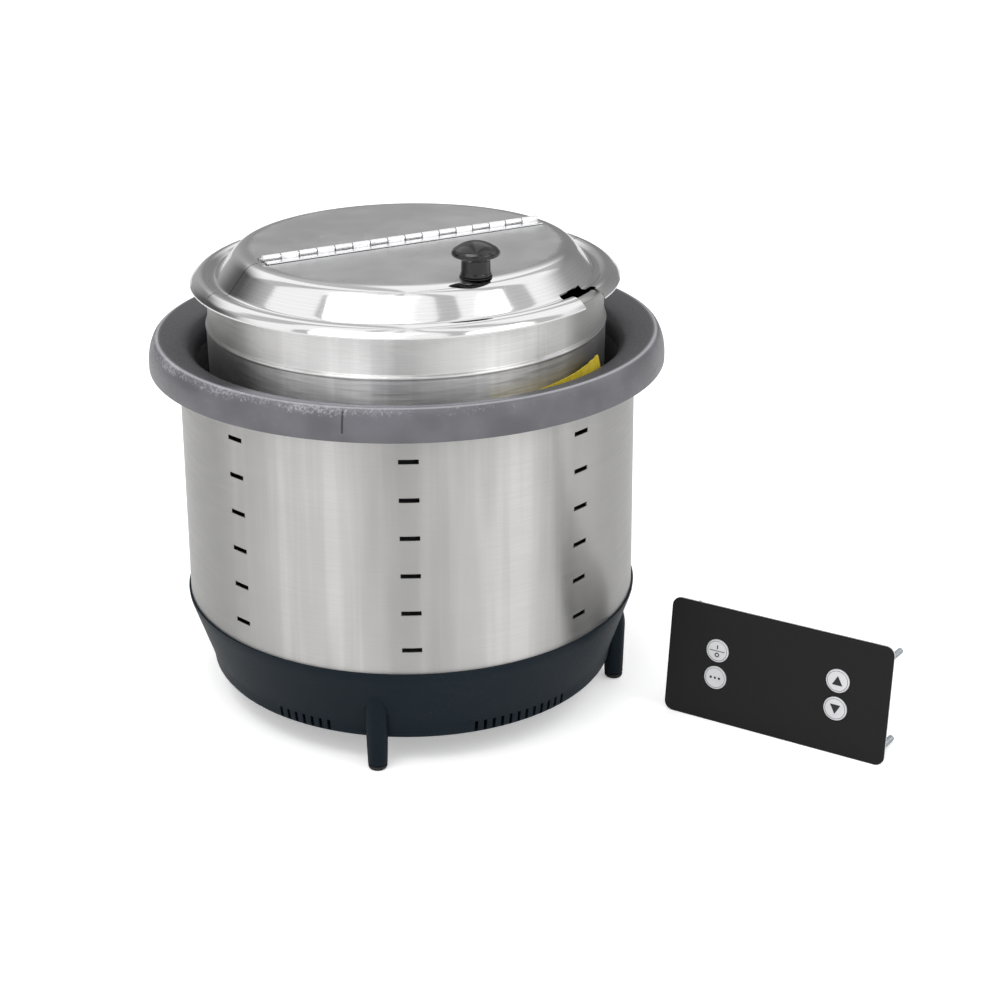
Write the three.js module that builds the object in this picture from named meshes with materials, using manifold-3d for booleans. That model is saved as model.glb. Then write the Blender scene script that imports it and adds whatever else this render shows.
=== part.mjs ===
// Drop-in induction soup kettle with a lift-out inset, a hinged two-piece cover
// and a loose control panel. Millimetres, +Z up, front towards -Y.
// The origin is the centre of the base pan's flat underside.
import * as THREE from 'three';
import { mergeVertices } from 'three/addons/utils/BufferGeometryUtils.js';
import Module from 'manifold-3d';

const wasm = await Module();
wasm.setup();

// ---- driving dimensions -------------------------------------------------
const GAP = 0.3;                 // clearance between pieces that touch
const SIDES = 48;                // facets round the large turned pieces
const DEG = Math.PI / 180;

const FOOT_HEIGHT = 19;          // floor is this far below the base underside
const FOOT_RING = 141.5;
const FOOT_TURNS = [-9.5, 80.5, 170.5, 231];   // azimuth of each foot, degrees
const FOOT_RADIUS = 6.2;

const BASE_RADIUS = 138.4;       // at the bottom edge
const BASE_TOP_RADIUS = 153.9;
const BASE_TOP = 53;
const BASE_WALL = 3;
const VENT = { width: 2.2, height: 7, bottom: 2, pitch: 2.5 };
const VENT_GROUPS = [[-30.5, 7], [30.5, 12], [-149.5, 7]];

const SHELL_RADIUS = 152.4;
const SHELL_SHEET = 0.8;
const SHELL_BOTTOM = 49.3;
const SHELL_TOP = 221;
const SLOT = { width: 12.5, height: 3, columns: 8, rows: 6, first: 69.4, spacing: 24.96 };

const RIM_BOTTOM = 213.4;
const RIM_TOP = 234;
const RIM_RADIUS = 172.1;
const WELL_RADIUS = 141.2;
const WELL_FLOOR = 54;
const WELL_WALL = 2;

const INSET_BOTTOM = WELL_FLOOR + GAP;
const INSET_RADIUS = 131.8;      // outside of the upper band
const INSET_STEP = 241.5;        // height of the band's lower edge
const SHEET = 1;                 // stainless sheet of the inset and the cover
const BEAD = { radius: 2.7, ring: 134.8, height: 270.4 };

const CROWN_TOP = 290.5;
const CROWN_RADIUS = 104;
const COVER_RADIUS = 142.5;
const HINGE_TURN = 26.3;         // hinge line, degrees from +X
const KNUCKLE = { count: 16, length: 12.7, radius: 2, bore: 1.2 };
const HINGE_HEIGHT = CROWN_TOP + GAP + KNUCKLE.radius;
const NOTCH = { azimuth: 30.7, width: 26, start: 123.5 };   // azimuth from the flap's middle
const KNOB = { ring: 99, height: 22, cap: 15.2, stem: 9.6 };

const COIL = { inner: 38, outer: 106 };
const SHIELD_HEIGHT = 33.5;
const SHIELD_POSTS = 112;
const FAN = { x: -62, y: -42, size: 60, height: 15 };
const BOARD = { x: 45, y: 25, width: 120, depth: 80, height: 9 };

const PANEL = { width: 150.4, height: 78.6, plate: 1.2, corner: 6 };
const PANEL_PLACE = [232.9, -109.3];
const PANEL_TURN = -32.4;
const PANEL_LEAN = 8.2;
const STUD = { x: 69, low: 6.8, high: 66, radius: 2, length: 32 };
const BUTTON = { radius: 7.7, x: 41, low: 30, high: 48.5 };

// ---- materials ----------------------------------------------------------
function material(color, roughness, metalness) {
  return () => new THREE.MeshStandardMaterial({ color, roughness, metalness });
}
const steel = material(0xc4c4c4, 0.35, 1);
const brightSteel = material(0xd8d8da, 0.2, 1);
const navyPlastic = material(0x1a242c, 0.5, 0);
const rimResin = material(0x4a4a50, 0.6, 0);
const wellResin = material(0x2c2c2e, 0.6, 0);
const blackPlastic = material(0x0c0c0e, 0.15, 0);
const rubber = material(0x141618, 0.8, 0);
const copper = material(0xb87340, 0.4, 1);
const ferrite = material(0x2a2a2c, 0.7, 0);
const aluminium = material(0xb8bcc0, 0.4, 1);
const circuitBoard = material(0x1c5c34, 0.5, 0);
const panelBlack = material(0x101012, 0.6, 0);
const buttonGrey = material(0xd4d4d6, 0.5, 0);
const card = material(0xe0c418, 0.7, 0);

// ---- helpers ------------------------------------------------------------
const model = new THREE.Group();

function add(name, geometry, makeMaterial, parent = model) {
  const mesh = new THREE.Mesh(geometry, makeMaterial());
  mesh.name = name;
  parent.add(mesh);
  return mesh;
}

function solid(geometry) {
  const bare = geometry.clone();
  bare.deleteAttribute('normal');
  bare.deleteAttribute('uv');
  const merged = mergeVertices(bare, 1e-4);
  const index = merged.index.array;
  const faces = [];
  for (let i = 0; i < index.length; i += 3) {
    const [a, b, c] = index.slice(i, i + 3);
    if (a !== b && b !== c && c !== a) faces.push(a, b, c);
  }
  const vertProperties = new Float32Array(merged.attributes.position.array);
  const triVerts = new Uint32Array(faces);
  return new wasm.Manifold(new wasm.Mesh({ numProp: 3, vertProperties, triVerts }));
}

function geometryOf(shape) {
  const mesh = shape.getMesh();
  const geometry = new THREE.BufferGeometry();
  geometry.setAttribute('position', new THREE.BufferAttribute(mesh.vertProperties, 3));
  geometry.setIndex(new THREE.BufferAttribute(mesh.triVerts, 1));
  geometry.computeVertexNormals();
  return geometry;
}

function cut(geometry, tools) {
  return geometryOf(tools.reduce((shape, tool) => shape.subtract(solid(tool)), solid(geometry)));
}

function join(geometries) {
  return geometryOf(geometries.map(solid).reduce((a, b) => a.add(b)));
}

function points(pairs) {
  return pairs.map(([x, y]) => new THREE.Vector2(x, y));
}

// Turns a closed [radius, height] outline, drawn counterclockwise, about Z.
function turned(outline, sides = SIDES) {
  const geometry = new THREE.LatheGeometry(points([...outline, outline[0]]), sides);
  return geometryOf(solid(geometry.rotateX(Math.PI / 2)));
}

function arc(x, y, radius, from, to, steps) {
  return Array.from({ length: steps + 1 }, (_, i) => {
    const angle = (from + (to - from) * i / steps) * DEG;
    return [x + radius * Math.cos(angle), y + radius * Math.sin(angle)];
  });
}

function ring(inner, outer, bottom, top, sides = SIDES) {
  return turned([[inner, bottom], [outer, bottom], [outer, top], [inner, top]], sides);
}

function disc(radius, bottom, top, sides = 24) {
  return turned([[0, bottom], [radius, bottom], [radius, top], [0, top]], sides);
}

function box(width, depth, height, x = 0, y = 0, bottom = 0) {
  return new THREE.BoxGeometry(width, depth, height).translate(x, y, bottom + height / 2);
}

// Moves a geometry built on the -Y side round the Z axis to an azimuth.
function round(geometry, azimuth) {
  return geometry.rotateZ(azimuth * DEG);
}

function azimuthPoint(radius, azimuth) {
  return [radius * Math.sin(azimuth * DEG), -radius * Math.cos(azimuth * DEG)];
}

function steps(count) {
  return Array.from({ length: count }, (_, i) => i);
}

// ---- base pan and feet --------------------------------------------------
function baseOutline() {
  const wall = (BASE_TOP_RADIUS - BASE_RADIUS) / (BASE_TOP - 4);
  const innerAt = (height) => BASE_RADIUS + wall * (height - 4) - BASE_WALL - 0.6;
  return [
    [0, 0], [132, 0], ...arc(133.8, 4.6, 4.6, -60, -10, 2),
    [BASE_TOP_RADIUS - 0.3, BASE_TOP - 2.5], [BASE_TOP_RADIUS, BASE_TOP],
    [SHELL_RADIUS + 0.7, BASE_TOP], [SHELL_RADIUS + 0.7, SHELL_BOTTOM - GAP],
    [148, SHELL_BOTTOM - GAP], [innerAt(42), 42], [innerAt(8), 8], [132, BASE_WALL], [0, BASE_WALL],
  ];
}

function footPost() {
  const post = turned([
    [0, 3 - FOOT_HEIGHT + GAP], [FOOT_RADIUS + 0.1, 3 - FOOT_HEIGHT + GAP],
    [FOOT_RADIUS + 1.4, 30], ...arc(0, 30, FOOT_RADIUS + 1.4, 30, 60, 1), [0, 37.6],
  ], 16);
  return post.translate(0, -FOOT_RING, 0);
}

function ventSlots() {
  return VENT_GROUPS.flatMap(([middle, count]) => steps(count).map((i) => {
    const azimuth = middle + (i - (count - 1) / 2) * VENT.pitch;
    return round(box(VENT.width, 16, VENT.height, 0, -BASE_RADIUS, VENT.bottom), azimuth);
  }));
}

function fanGrille() {
  return steps(6).map((i) => box(44, 3, 10, FAN.x, FAN.y + (i - 2.5) * 7.4, -3));
}

function shieldPosts(radius, bottom, top) {
  return steps(4).map((i) => {
    const [x, y] = azimuthPoint(SHIELD_POSTS, 45 + 90 * i);
    return disc(radius, bottom, top, 8).translate(x, y, 0);
  });
}

function boardPosts() {
  return steps(4).map((i) => {
    const x = BOARD.x + (i % 2 ? 1 : -1) * (BOARD.width / 2 - 6);
    const y = BOARD.y + (i < 2 ? 1 : -1) * (BOARD.depth / 2 - 6);
    return disc(3.5, BASE_WALL - 0.5, BOARD.height - GAP, 6).translate(x, y, 0);
  });
}

function glandBoss(radius, azimuth) {
  const boss = disc(radius, 139, 152, 14).rotateX(Math.PI / 2).translate(0, 0, 26);
  return round(boss, azimuth);
}

function glandBore(radius, azimuth) {
  const bore = disc(radius, 120, 160, 10).rotateX(Math.PI / 2).translate(0, 0, 26);
  return round(bore, azimuth);
}

function basePan() {
  const feet = FOOT_TURNS.map((turn) => round(footPost(), turn));
  const body = join([
    turned(baseOutline()), ...feet, ...boardPosts(),
    ...shieldPosts(5, BASE_WALL - 0.5, SHIELD_HEIGHT - GAP),
    glandBoss(11, 180), glandBoss(8, 160),
  ]);
  return cut(body, [
    ...ventSlots(), ...fanGrille(), ...shieldPosts(1.9, SHIELD_HEIGHT - 10, SHIELD_HEIGHT + 1),
    glandBore(4.5, 180), glandBore(3, 160),
  ]);
}

function footTip() {
  const bottom = -FOOT_HEIGHT;
  return turned([
    [0, bottom], [FOOT_RADIUS - 1.4, bottom], [FOOT_RADIUS - 0.3, bottom + 1],
    [FOOT_RADIUS, bottom + 3], [0, bottom + 3],
  ], 20).translate(0, -FOOT_RING, 0);
}

add('base_pan', basePan(), navyPlastic);
FOOT_TURNS.forEach((turn, i) => {
  add(`foot_tip_${i + 1}`, round(footTip(), turn), rubber);
});

// ---- outer shell --------------------------------------------------------
function outerShell() {
  const tube = ring(SHELL_RADIUS - SHELL_SHEET, SHELL_RADIUS, SHELL_BOTTOM, SHELL_TOP, 96);
  const slots = steps(SLOT.columns * SLOT.rows).map((i) => {
    const row = Math.floor(i / SLOT.columns);
    const height = SLOT.first + SLOT.spacing * row - SLOT.height / 2;
    return round(box(SLOT.width, 12, SLOT.height, 0, -SHELL_RADIUS, height), i * 360 / SLOT.columns);
  });
  return cut(tube, slots);
}
add('outer_shell', outerShell(), steel);

// ---- rim, gasket and well -----------------------------------------------
function rimScrewHoles(radius, bottom, top) {
  return steps(4).map((i) => {
    const [x, y] = azimuthPoint(147.2, 22.5 + 90 * i);
    return disc(radius, bottom, top, 10).translate(x, y, 0);
  });
}

function rimRing() {
  const groove = [
    [SHELL_RADIUS + 0.5, RIM_BOTTOM], [SHELL_RADIUS + 0.5, SHELL_TOP + GAP],
    [SHELL_RADIUS - SHELL_SHEET - 0.5, SHELL_TOP + GAP], [SHELL_RADIUS - SHELL_SHEET - 0.5, RIM_BOTTOM],
  ];
  const outline = [
    [WELL_RADIUS, RIM_BOTTOM], ...groove.reverse(),
    [156, RIM_BOTTOM], [156, 228], [164.5, 228], [168, RIM_BOTTOM],
    [RIM_RADIUS, RIM_BOTTOM], [RIM_RADIUS, 216.5], [171, 219],
    ...arc(164.2, RIM_TOP - 4.4, 4.2, 10, 82, 3),
    [150, RIM_TOP - 4.5], [146, RIM_TOP - 6.8], [141.8, 221],
  ];
  return cut(turned(outline), rimScrewHoles(2, RIM_BOTTOM - 3, 219.5));
}

function wellLiner() {
  const outer = WELL_RADIUS + WELL_WALL;
  const bottom = WELL_FLOOR - 2.5;
  const outline = [
    [0, bottom], ...arc(outer - 12, bottom + 12, 12, -90, 0, 3),
    [outer, 210.5], [150.4, 210.5], [150.4, RIM_BOTTOM - GAP],
    [WELL_RADIUS, RIM_BOTTOM - GAP], ...arc(WELL_RADIUS - 10, WELL_FLOOR + 10, 10, 0, -90, 3),
    [0, WELL_FLOOR],
  ];
  return cut(turned(outline), rimScrewHoles(2, 208, RIM_BOTTOM));
}

function rimScrew() {
  return turned([
    [0, 207.9], [2.6, 207.9], [3.2, 208.7], [3.2, 210.2], [1.6, 210.2], [1.6, 219], [0, 219],
  ], 10);
}

add('rim_ring', rimRing(), rimResin);
add('rim_gasket', ring(156.4, 167, RIM_BOTTOM - 0.8, RIM_BOTTOM + 3.4), rubber);
add('well_liner', wellLiner(), wellResin);
steps(4).forEach((i) => {
  const [x, y] = azimuthPoint(147.2, 22.5 + 90 * i);
  add(`rim_screw_${i + 1}`, rimScrew(), brightSteel).position.set(x, y, 0);
});

// ---- induction coil stack -----------------------------------------------
function coilShield() {
  return cut(disc(128, SHIELD_HEIGHT, SHIELD_HEIGHT + 1.5, 48), shieldPosts(2.2, 30, 40));
}

function shieldScrew() {
  const seat = SHIELD_HEIGHT + 1.5 + GAP;
  return turned([
    [0, seat - 9], [1.6, seat - 9], [1.6, seat], [3.2, seat], [3.2, seat + 1.4], [2.4, seat + 2.2],
    [0, seat + 2.2],
  ], 10);
}

function sensor() {
  return turned([
    [0, 35.3], [9, 35.3], [9, 38], [4, 39], [4, 45], [8, 46.5], [8, 51.2], [0, 51.2],
  ], 20);
}

add('coil_shield', coilShield(), aluminium);
steps(4).forEach((i) => {
  const [x, y] = azimuthPoint(SHIELD_POSTS, 45 + 90 * i);
  add(`shield_screw_${i + 1}`, shieldScrew(), brightSteel).position.set(x, y, 0);
});
steps(6).forEach((i) => {
  add(`ferrite_bar_${i + 1}`, round(box(14, 55, 4, 0, -70, 35.3), 60 * i), ferrite);
});
add('coil_carrier', ring(22, 116, 39.6, 42.6, 40), blackPlastic);
add('induction_coil', ring(COIL.inner, COIL.outer, 42.9, 48.9, 40), copper);
add('temperature_sensor', sensor(), aluminium);

// ---- power electronics --------------------------------------------------
function heatSink() {
  const fin = 1.6;
  const outline = [[0, 0], [100, 0]];
  steps(7).reverse().forEach((i) => {
    const x = i * (100 - fin) / 6;
    outline.push([x + fin, 16], [x, 16]);
    if (i > 0) outline.push([x, 4], [x - (100 - fin) / 6 + fin, 4]);
  });
  const shape = new THREE.Shape(points(outline));
  const comb = new THREE.ExtrudeGeometry(shape, { depth: 26, bevelEnabled: false });
  return comb.rotateX(Math.PI / 2).translate(BOARD.x - 50, BOARD.y - 10, BOARD.height + 1.9);
}

function fanFrame() {
  const bore = disc(FAN.size / 2 - 2.5, BASE_WALL, BASE_WALL + FAN.height + 2, 32);
  const frame = cut(box(FAN.size, FAN.size, FAN.height, 0, 0, BASE_WALL + GAP), [bore]);
  const spokes = steps(3).map((i) => box(4, FAN.size - 4, 2, 0, 0, BASE_WALL + GAP).rotateZ(i * 60 * DEG));
  return join([frame, disc(12, BASE_WALL + GAP, BASE_WALL + GAP + 2), ...spokes]);
}

function fanImpeller() {
  const blades = steps(7).map((i) => box(11, 17, 1.2, 0, -17.5, 0)
    .rotateY(35 * DEG).translate(0, 0, 12).rotateZ(i * 360 / 7 * DEG));
  return join([disc(11.5, 6, 17.6), ...blades]);
}

function choke() {
  return new THREE.TorusGeometry(12, 4.5, 8, 16);
}

add('power_board', box(BOARD.width, BOARD.depth, 1.6, BOARD.x, BOARD.y, BOARD.height), circuitBoard);
const BOARD_TOP = BOARD.height + 1.6 + GAP;
add('heat_sink', heatSink(), aluminium);
add('filter_capacitor', box(32, 18, 20, 10, 46, BOARD_TOP), buttonGrey);
add('filter_choke', choke(), copper).position.set(52, 44, BOARD_TOP + 4.5);
add('terminal_block', box(14, 36, 13, 92, 36, BOARD_TOP), navyPlastic);
add('fan_frame', fanFrame(), blackPlastic).position.set(FAN.x, FAN.y, 0);
add('fan_impeller', fanImpeller(), blackPlastic).position.set(FAN.x, FAN.y, 0);

// ---- cord glands on the base wall ---------------------------------------
function gland(radius, bore) {
  const seat = 152 + GAP;
  const nut = turned([
    [bore, seat], [radius, seat], [radius, seat + 7], [bore, seat + 7],
  ], 6);
  const dome = turned([
    [bore, seat + 5], [radius * 0.8, seat + 5], [radius * 0.8, seat + 12],
    [radius * 0.55, seat + 18], [bore, seat + 18],
  ], 20);
  return join([nut, dome]).rotateX(Math.PI / 2).translate(0, 0, 26);
}
add('mains_cord_gland', round(gland(10, 4.2), 180), blackPlastic);
add('control_cord_gland', round(gland(7, 2.8), 160), blackPlastic);

// ---- inset --------------------------------------------------------------
function insetPan() {
  const step = INSET_RADIUS + 1.2;
  const wall = (height) => step - 3.6 * (INSET_STEP - 2 - height) / (INSET_STEP - 2 - 72);
  const outline = [
    [0, INSET_BOTTOM], ...arc(wall(72) - 16, INSET_BOTTOM + 17, 17, -88, -3, 3),
    [step, INSET_STEP - 2], [step + 0.4, INSET_STEP - 0.7], [INSET_RADIUS, INSET_STEP],
    [INSET_RADIUS, BEAD.height - 4.4], ...arc(BEAD.ring, BEAD.height, BEAD.radius, -120, 130, 5),
    [INSET_RADIUS - 0.7, BEAD.height - 1.1], [INSET_RADIUS - SHEET, BEAD.height - 4],
    [INSET_RADIUS - SHEET, INSET_STEP], [step - SHEET, INSET_STEP - 2],
    ...arc(wall(72) - 16, INSET_BOTTOM + 17, 16, -3, -88, 3), [0, INSET_BOTTOM + SHEET],
  ];
  return turned(outline);
}
add('inset_pan', insetPan(), steel);

// ---- cover, hinge and knob, built with the hinge along X ------------------
const cover = new THREE.Group();
cover.rotation.z = HINGE_TURN * DEG;
model.add(cover);

function coverDome() {
  const top = [
    [COVER_RADIUS, 268.9], [140.8, 271.2], [137, 274.2], [134, 275], [131.5, 274.3],
    [128.4, 271.9], [125.6, 271.9], [113.4, 286.6], [109.6, 289.4], [CROWN_RADIUS, CROWN_TOP],
    [0, CROWN_TOP],
  ];
  const under = top.map(([radius, height]) => [radius, height - SHEET]).reverse();
  return turned([...under, ...top]);
}

function halfCutter(side) {
  return box(400, 200, 100, 0, side * (100 - GAP), 240);
}

function coverRear() {
  return cut(coverDome(), [halfCutter(-1)]);
}

function coverFlap() {
  const reach = 60;
  const notch = box(NOTCH.width, reach, 60, 0, -NOTCH.start - reach / 2, 240);
  const screwHole = disc(2.6, 280, 300, 12).translate(0, -KNOB.ring, 0);
  return cut(coverDome(), [halfCutter(1), round(notch, NOTCH.azimuth), screwHole]);
}

function hingeLeaf(side) {
  const { count, length, radius, bore } = KNUCKLE;
  const start = -count * length / 2;
  const bottom = HINGE_HEIGHT - radius;
  const pieces = [box(count * length, 6, 0.8, 0, side * 6.2, bottom)];
  steps(count).filter((i) => (i % 2 === 0) === (side > 0)).forEach((i) => {
    const middle = start + (i + 0.5) * length;
    const tube = ring(bore, radius, -length / 2 + GAP / 2, length / 2 - GAP / 2, 10)
      .rotateY(Math.PI / 2).translate(middle, 0, HINGE_HEIGHT);
    pieces.push(tube, box(length - GAP, 2.6, 0.8, middle, side * 2.4, bottom));
  });
  const bored = disc(bore, -count * length, count * length, 10)
    .rotateY(Math.PI / 2).translate(0, 0, HINGE_HEIGHT);
  return cut(join(pieces), [bored]);
}

function hingePin() {
  const half = KNUCKLE.count * KNUCKLE.length / 2 + 0.5;
  return disc(KNUCKLE.bore - GAP, -half, half, 10).rotateY(Math.PI / 2).translate(0, 0, HINGE_HEIGHT);
}

function knob() {
  const seat = CROWN_TOP + 0.5 + 2 * GAP;
  const { height, cap, stem } = KNOB;
  const edge = height - 7.4;
  return turned([
    [2.4, 0], [stem, 0], [stem - 0.4, edge - 4], [stem + 1.2, edge - 2.2],
    ...arc(cap - 2.1, edge, 2.1, -70, 60, 4), [9, height - 1.5], [0, height],
    [0, 10], [2.4, 10],
  ].map(([radius, z]) => [radius, z + seat]), 24);
}

function knobScrew() {
  const seat = CROWN_TOP - SHEET - GAP;
  return turned([
    [0, seat - 2.4], [3, seat - 2.4], [4, seat - 1.2], [4, seat], [2, seat], [2, seat + 10], [0, seat + 10],
  ], 12);
}

add('cover_rear', coverRear(), steel, cover);
add('cover_flap', coverFlap(), steel, cover);
add('hinge_leaf_rear', hingeLeaf(1), brightSteel, cover);
add('hinge_leaf_flap', hingeLeaf(-1), brightSteel, cover);
add('hinge_pin', hingePin(), brightSteel, cover);
const knobPlace = [0, -KNOB.ring, 0];
add('knob', knob(), blackPlastic, cover).position.set(...knobPlace);
add('knob_washer', ring(2.6, KNOB.stem + 0.6, CROWN_TOP + GAP, CROWN_TOP + GAP + 0.5, 24), rubber, cover)
  .position.set(...knobPlace);
add('knob_screw', knobScrew(), brightSteel, cover).position.set(...knobPlace);

// ---- blank card tucked beside the inset -----------------------------------
function blankCard() {
  const shape = new THREE.Shape();
  const [from, to] = [(24 - 90) * DEG, (61 - 90) * DEG];
  shape.absarc(0, 0, 139.4, from, to, false);
  shape.absarc(0, 0, 138.8, to, from, true);
  return new THREE.ExtrudeGeometry(shape, { depth: 42, bevelEnabled: false, curveSegments: 12 })
    .translate(0, 0, 191);
}
add('blank_card', blankCard(), card);

// ---- control panel, built flat with Y up its face and Z towards the user ----
const panelTurn = new THREE.Group();
panelTurn.position.set(...PANEL_PLACE, -FOOT_HEIGHT);
panelTurn.rotation.z = PANEL_TURN * DEG;
model.add(panelTurn);
const panel = new THREE.Group();
panel.rotation.x = Math.PI / 2 - PANEL_LEAN * DEG;
panelTurn.add(panel);

const BUTTONS = {
  button_power: [-BUTTON.x, BUTTON.high],
  button_function: [-BUTTON.x, BUTTON.low],
  button_up: [BUTTON.x, BUTTON.high],
  button_down: [BUTTON.x, BUTTON.low],
};

function roundedPlate(bottom, thickness, holeRadius) {
  const { width, height, corner } = PANEL;
  const shape = new THREE.Shape();
  const x = width / 2 - corner;
  shape.absarc(x, corner, corner, -Math.PI / 2, 0, false);
  shape.absarc(x, height - corner, corner, 0, Math.PI / 2, false);
  shape.absarc(-x, height - corner, corner, Math.PI / 2, Math.PI, false);
  shape.absarc(-x, corner, corner, Math.PI, Math.PI * 1.5, false);
  const plate = new THREE.ExtrudeGeometry(shape, { depth: thickness, bevelEnabled: false, curveSegments: 5 })
    .translate(0, 0, bottom);
  const holes = Object.values(BUTTONS).map(([bx, by]) => {
    return disc(holeRadius, bottom - 1, bottom + thickness + 1, 18).translate(bx, by, 0);
  });
  return cut(plate, holes);
}

function panelButton() {
  const { radius } = BUTTON;
  return turned([
    [0, -1.8], [radius + 1.2, -1.8], [radius + 1.2, -0.4], [radius, -0.4], [radius, 2.1],
    [radius - 0.4, 2.5], [0, 2.5],
  ], 18);
}

function panelHousing() {
  const middle = PANEL.height / 2;
  const outer = box(116, 56, 14, 0, middle, -14.3);
  const hollow = box(112, 52, 14, 0, middle, -12.3);
  return cut(outer, [hollow, disc(5, -16, -10, 16).translate(0, middle, 0)]);
}

function controlBoard() {
  const middle = PANEL.height / 2;
  const switches = Object.values(BUTTONS).map(([x, y]) => box(6, 6, 4, x, y, -7));
  return join([box(110, 50, 1.6, 0, middle, -8), ...switches]);
}

function cordGrommet() {
  return turned([
    [2.6, -17.5], [4.2, -17.5], [6.8, -14.6], [4.7, -14.6], [4.7, -12], [6.4, -12], [6.4, -11.2], [2.6, -11.2],
  ], 14).translate(0, PANEL.height / 2, 0);
}

function panelStud(x, y) {
  return disc(STUD.radius, -GAP - STUD.length, -GAP, 12).translate(x, y, 0);
}

add('panel_plate', roundedPlate(0, PANEL.plate, BUTTON.radius + 0.4), aluminium, panel);
add('panel_overlay', roundedPlate(PANEL.plate + GAP, 0.5, BUTTON.radius + 0.4), panelBlack, panel);
add('panel_housing', panelHousing(), blackPlastic, panel);
add('control_board', controlBoard(), circuitBoard, panel);
add('panel_cord_grommet', cordGrommet(), rubber, panel);
Object.entries(BUTTONS).forEach(([name, [x, y]]) => {
  add(name, panelButton(), buttonGrey, panel).position.set(x, y, 0);
});
steps(4).forEach((i) => {
  const x = (i % 2 ? 1 : -1) * STUD.x;
  const y = i < 2 ? STUD.low : STUD.high;
  add(`panel_stud_${i + 1}`, panelStud(x, y), brightSteel, panel);
});

export default model;
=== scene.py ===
"""A drop-in soup kettle with its remote control panel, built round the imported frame.

Sizes in the code are millimetres unless a name says otherwise, and meshes are made in metres.
Z is up, the front of the kettle faces -Y, and an azimuth is measured from the front towards +X.
"""

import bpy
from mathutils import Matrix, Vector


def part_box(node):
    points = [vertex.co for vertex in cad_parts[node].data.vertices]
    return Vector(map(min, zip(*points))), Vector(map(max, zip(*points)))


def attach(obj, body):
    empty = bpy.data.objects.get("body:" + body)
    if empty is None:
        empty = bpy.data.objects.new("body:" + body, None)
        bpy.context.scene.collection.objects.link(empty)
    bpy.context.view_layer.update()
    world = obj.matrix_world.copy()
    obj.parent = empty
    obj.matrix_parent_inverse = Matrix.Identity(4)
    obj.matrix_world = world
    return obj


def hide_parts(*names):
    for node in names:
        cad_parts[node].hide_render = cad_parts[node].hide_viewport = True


bl_info = {
    "name": "Drop-in soup kettle",
    "version": (1, 0, 0),
    "blender": (4, 5, 0),
    "location": "3D View > Sidebar > Soup kettle",
    "description": "Builds a drop-in soup kettle and its control panel",
    "category": "Object",
}

import math

import bmesh
import bpy
import numpy as np
from bpy.props import FloatProperty, FloatVectorProperty, IntProperty, PointerProperty
from mathutils import Matrix, Vector
from mathutils.geometry import tessellate_polygon

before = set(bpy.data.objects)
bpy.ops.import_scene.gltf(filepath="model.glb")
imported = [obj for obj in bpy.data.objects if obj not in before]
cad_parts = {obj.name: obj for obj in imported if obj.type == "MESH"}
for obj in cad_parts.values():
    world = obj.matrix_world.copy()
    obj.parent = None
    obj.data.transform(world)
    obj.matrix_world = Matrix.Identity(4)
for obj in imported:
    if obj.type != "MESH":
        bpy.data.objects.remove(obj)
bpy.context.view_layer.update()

MM = 0.001
FULL_TURN = 360.0
SHARP = math.radians(32)
GAP = 0.3
SHEET = 1.0
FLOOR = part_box("foot_tip_1")[0].z / MM
SHELL_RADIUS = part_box("outer_shell")[1].x / MM
SHELL_BOTTOM, SHELL_TOP = (corner.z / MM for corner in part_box("outer_shell"))
HINGE_TURN = 26.3
HINGE_HEIGHT = 292.8
CROWN_TOP = 290.5
PANEL_TURN = -32.4
PANEL_LEAN = 8.2
PANEL_PLACE = (232.9, -109.3, FLOOR)
PANEL_SIZE = (150.4, 78.6)
FOOT_RING = 141.5
FOOT_TURNS = (-9.5, 80.5, 170.5, 231.0)
SHIELD_POST_RING = 112
BOARD_MIDDLE = (45, 25)
BOARD_POSTS = (54, 34)
GLAND_HEIGHT = 26
GLANDS = (
    ("mains_gland", "mains_cord_gland", 180, (11, 4.5), (10, 4.2)),
    ("control_gland", "control_cord_gland", 160, (8, 3), (7, 2.8)),
)
NOTCH_MIDDLE = 30.7
NOTCH_START = 123.5
NOTCH_HALF_WIDTH = 13
KNOB_FROM_AXIS = 99
STUD_PLACES = ((-69, 6.8), (69, 6.8), (-69, 66.0), (69, 66.0))
STUD_RADIUS = 2.0
RUBBED_SIDE = -48.0
PAINTED_REFLECTION_SIDE = -8.0
KNIFE_MARK = -13.0
SCREENS = (
    (0.0, 0.3), (0.06, 0.5), (0.13, 0.12), (0.22, 0.12), (0.278, 0.95), (0.333, 1.25), (0.394, 1.35),
    (0.433, 1.1), (0.474, 0.15), (0.503, 0.12), (0.525, 0.95), (0.583, 1.6), (0.667, 1.35), (0.728, 0.4),
    (0.764, 1.1), (0.84, 0.45), (0.93, 0.3), (1.0, 0.3),
)
CEILING_GAPS = 7.0
BUTTONS = {
    "button_power": (-41.0, 48.5, "power_button"),
    "button_function": (-41.0, 30.0, "function_button"),
    "button_up": (41.0, 48.5, "up_button"),
    "button_down": (41.0, 30.0, "down_button"),
}


# ---- surfaces as arrays ---------------------------------------------------
def quads(rows, columns, loop_rows=False, loop_columns=False, keep=None):
    """Four corner numbers for each cell of a grid of rows by columns points, in the order
    (r, c), (r+1, c), (r+1, c+1), (r, c+1). keep is a mask of the cells that stay."""
    r, c = np.meshgrid(
        np.arange(rows if loop_rows else rows - 1),
        np.arange(columns if loop_columns else columns - 1),
        indexing="ij",
    )
    r2, c2 = (r + 1) % rows, (c + 1) % columns
    cells = np.stack([r * columns + c, r2 * columns + c, r2 * columns + c2, r * columns + c2], -1)
    return cells.reshape(-1, 4) if keep is None else cells[keep]


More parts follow.
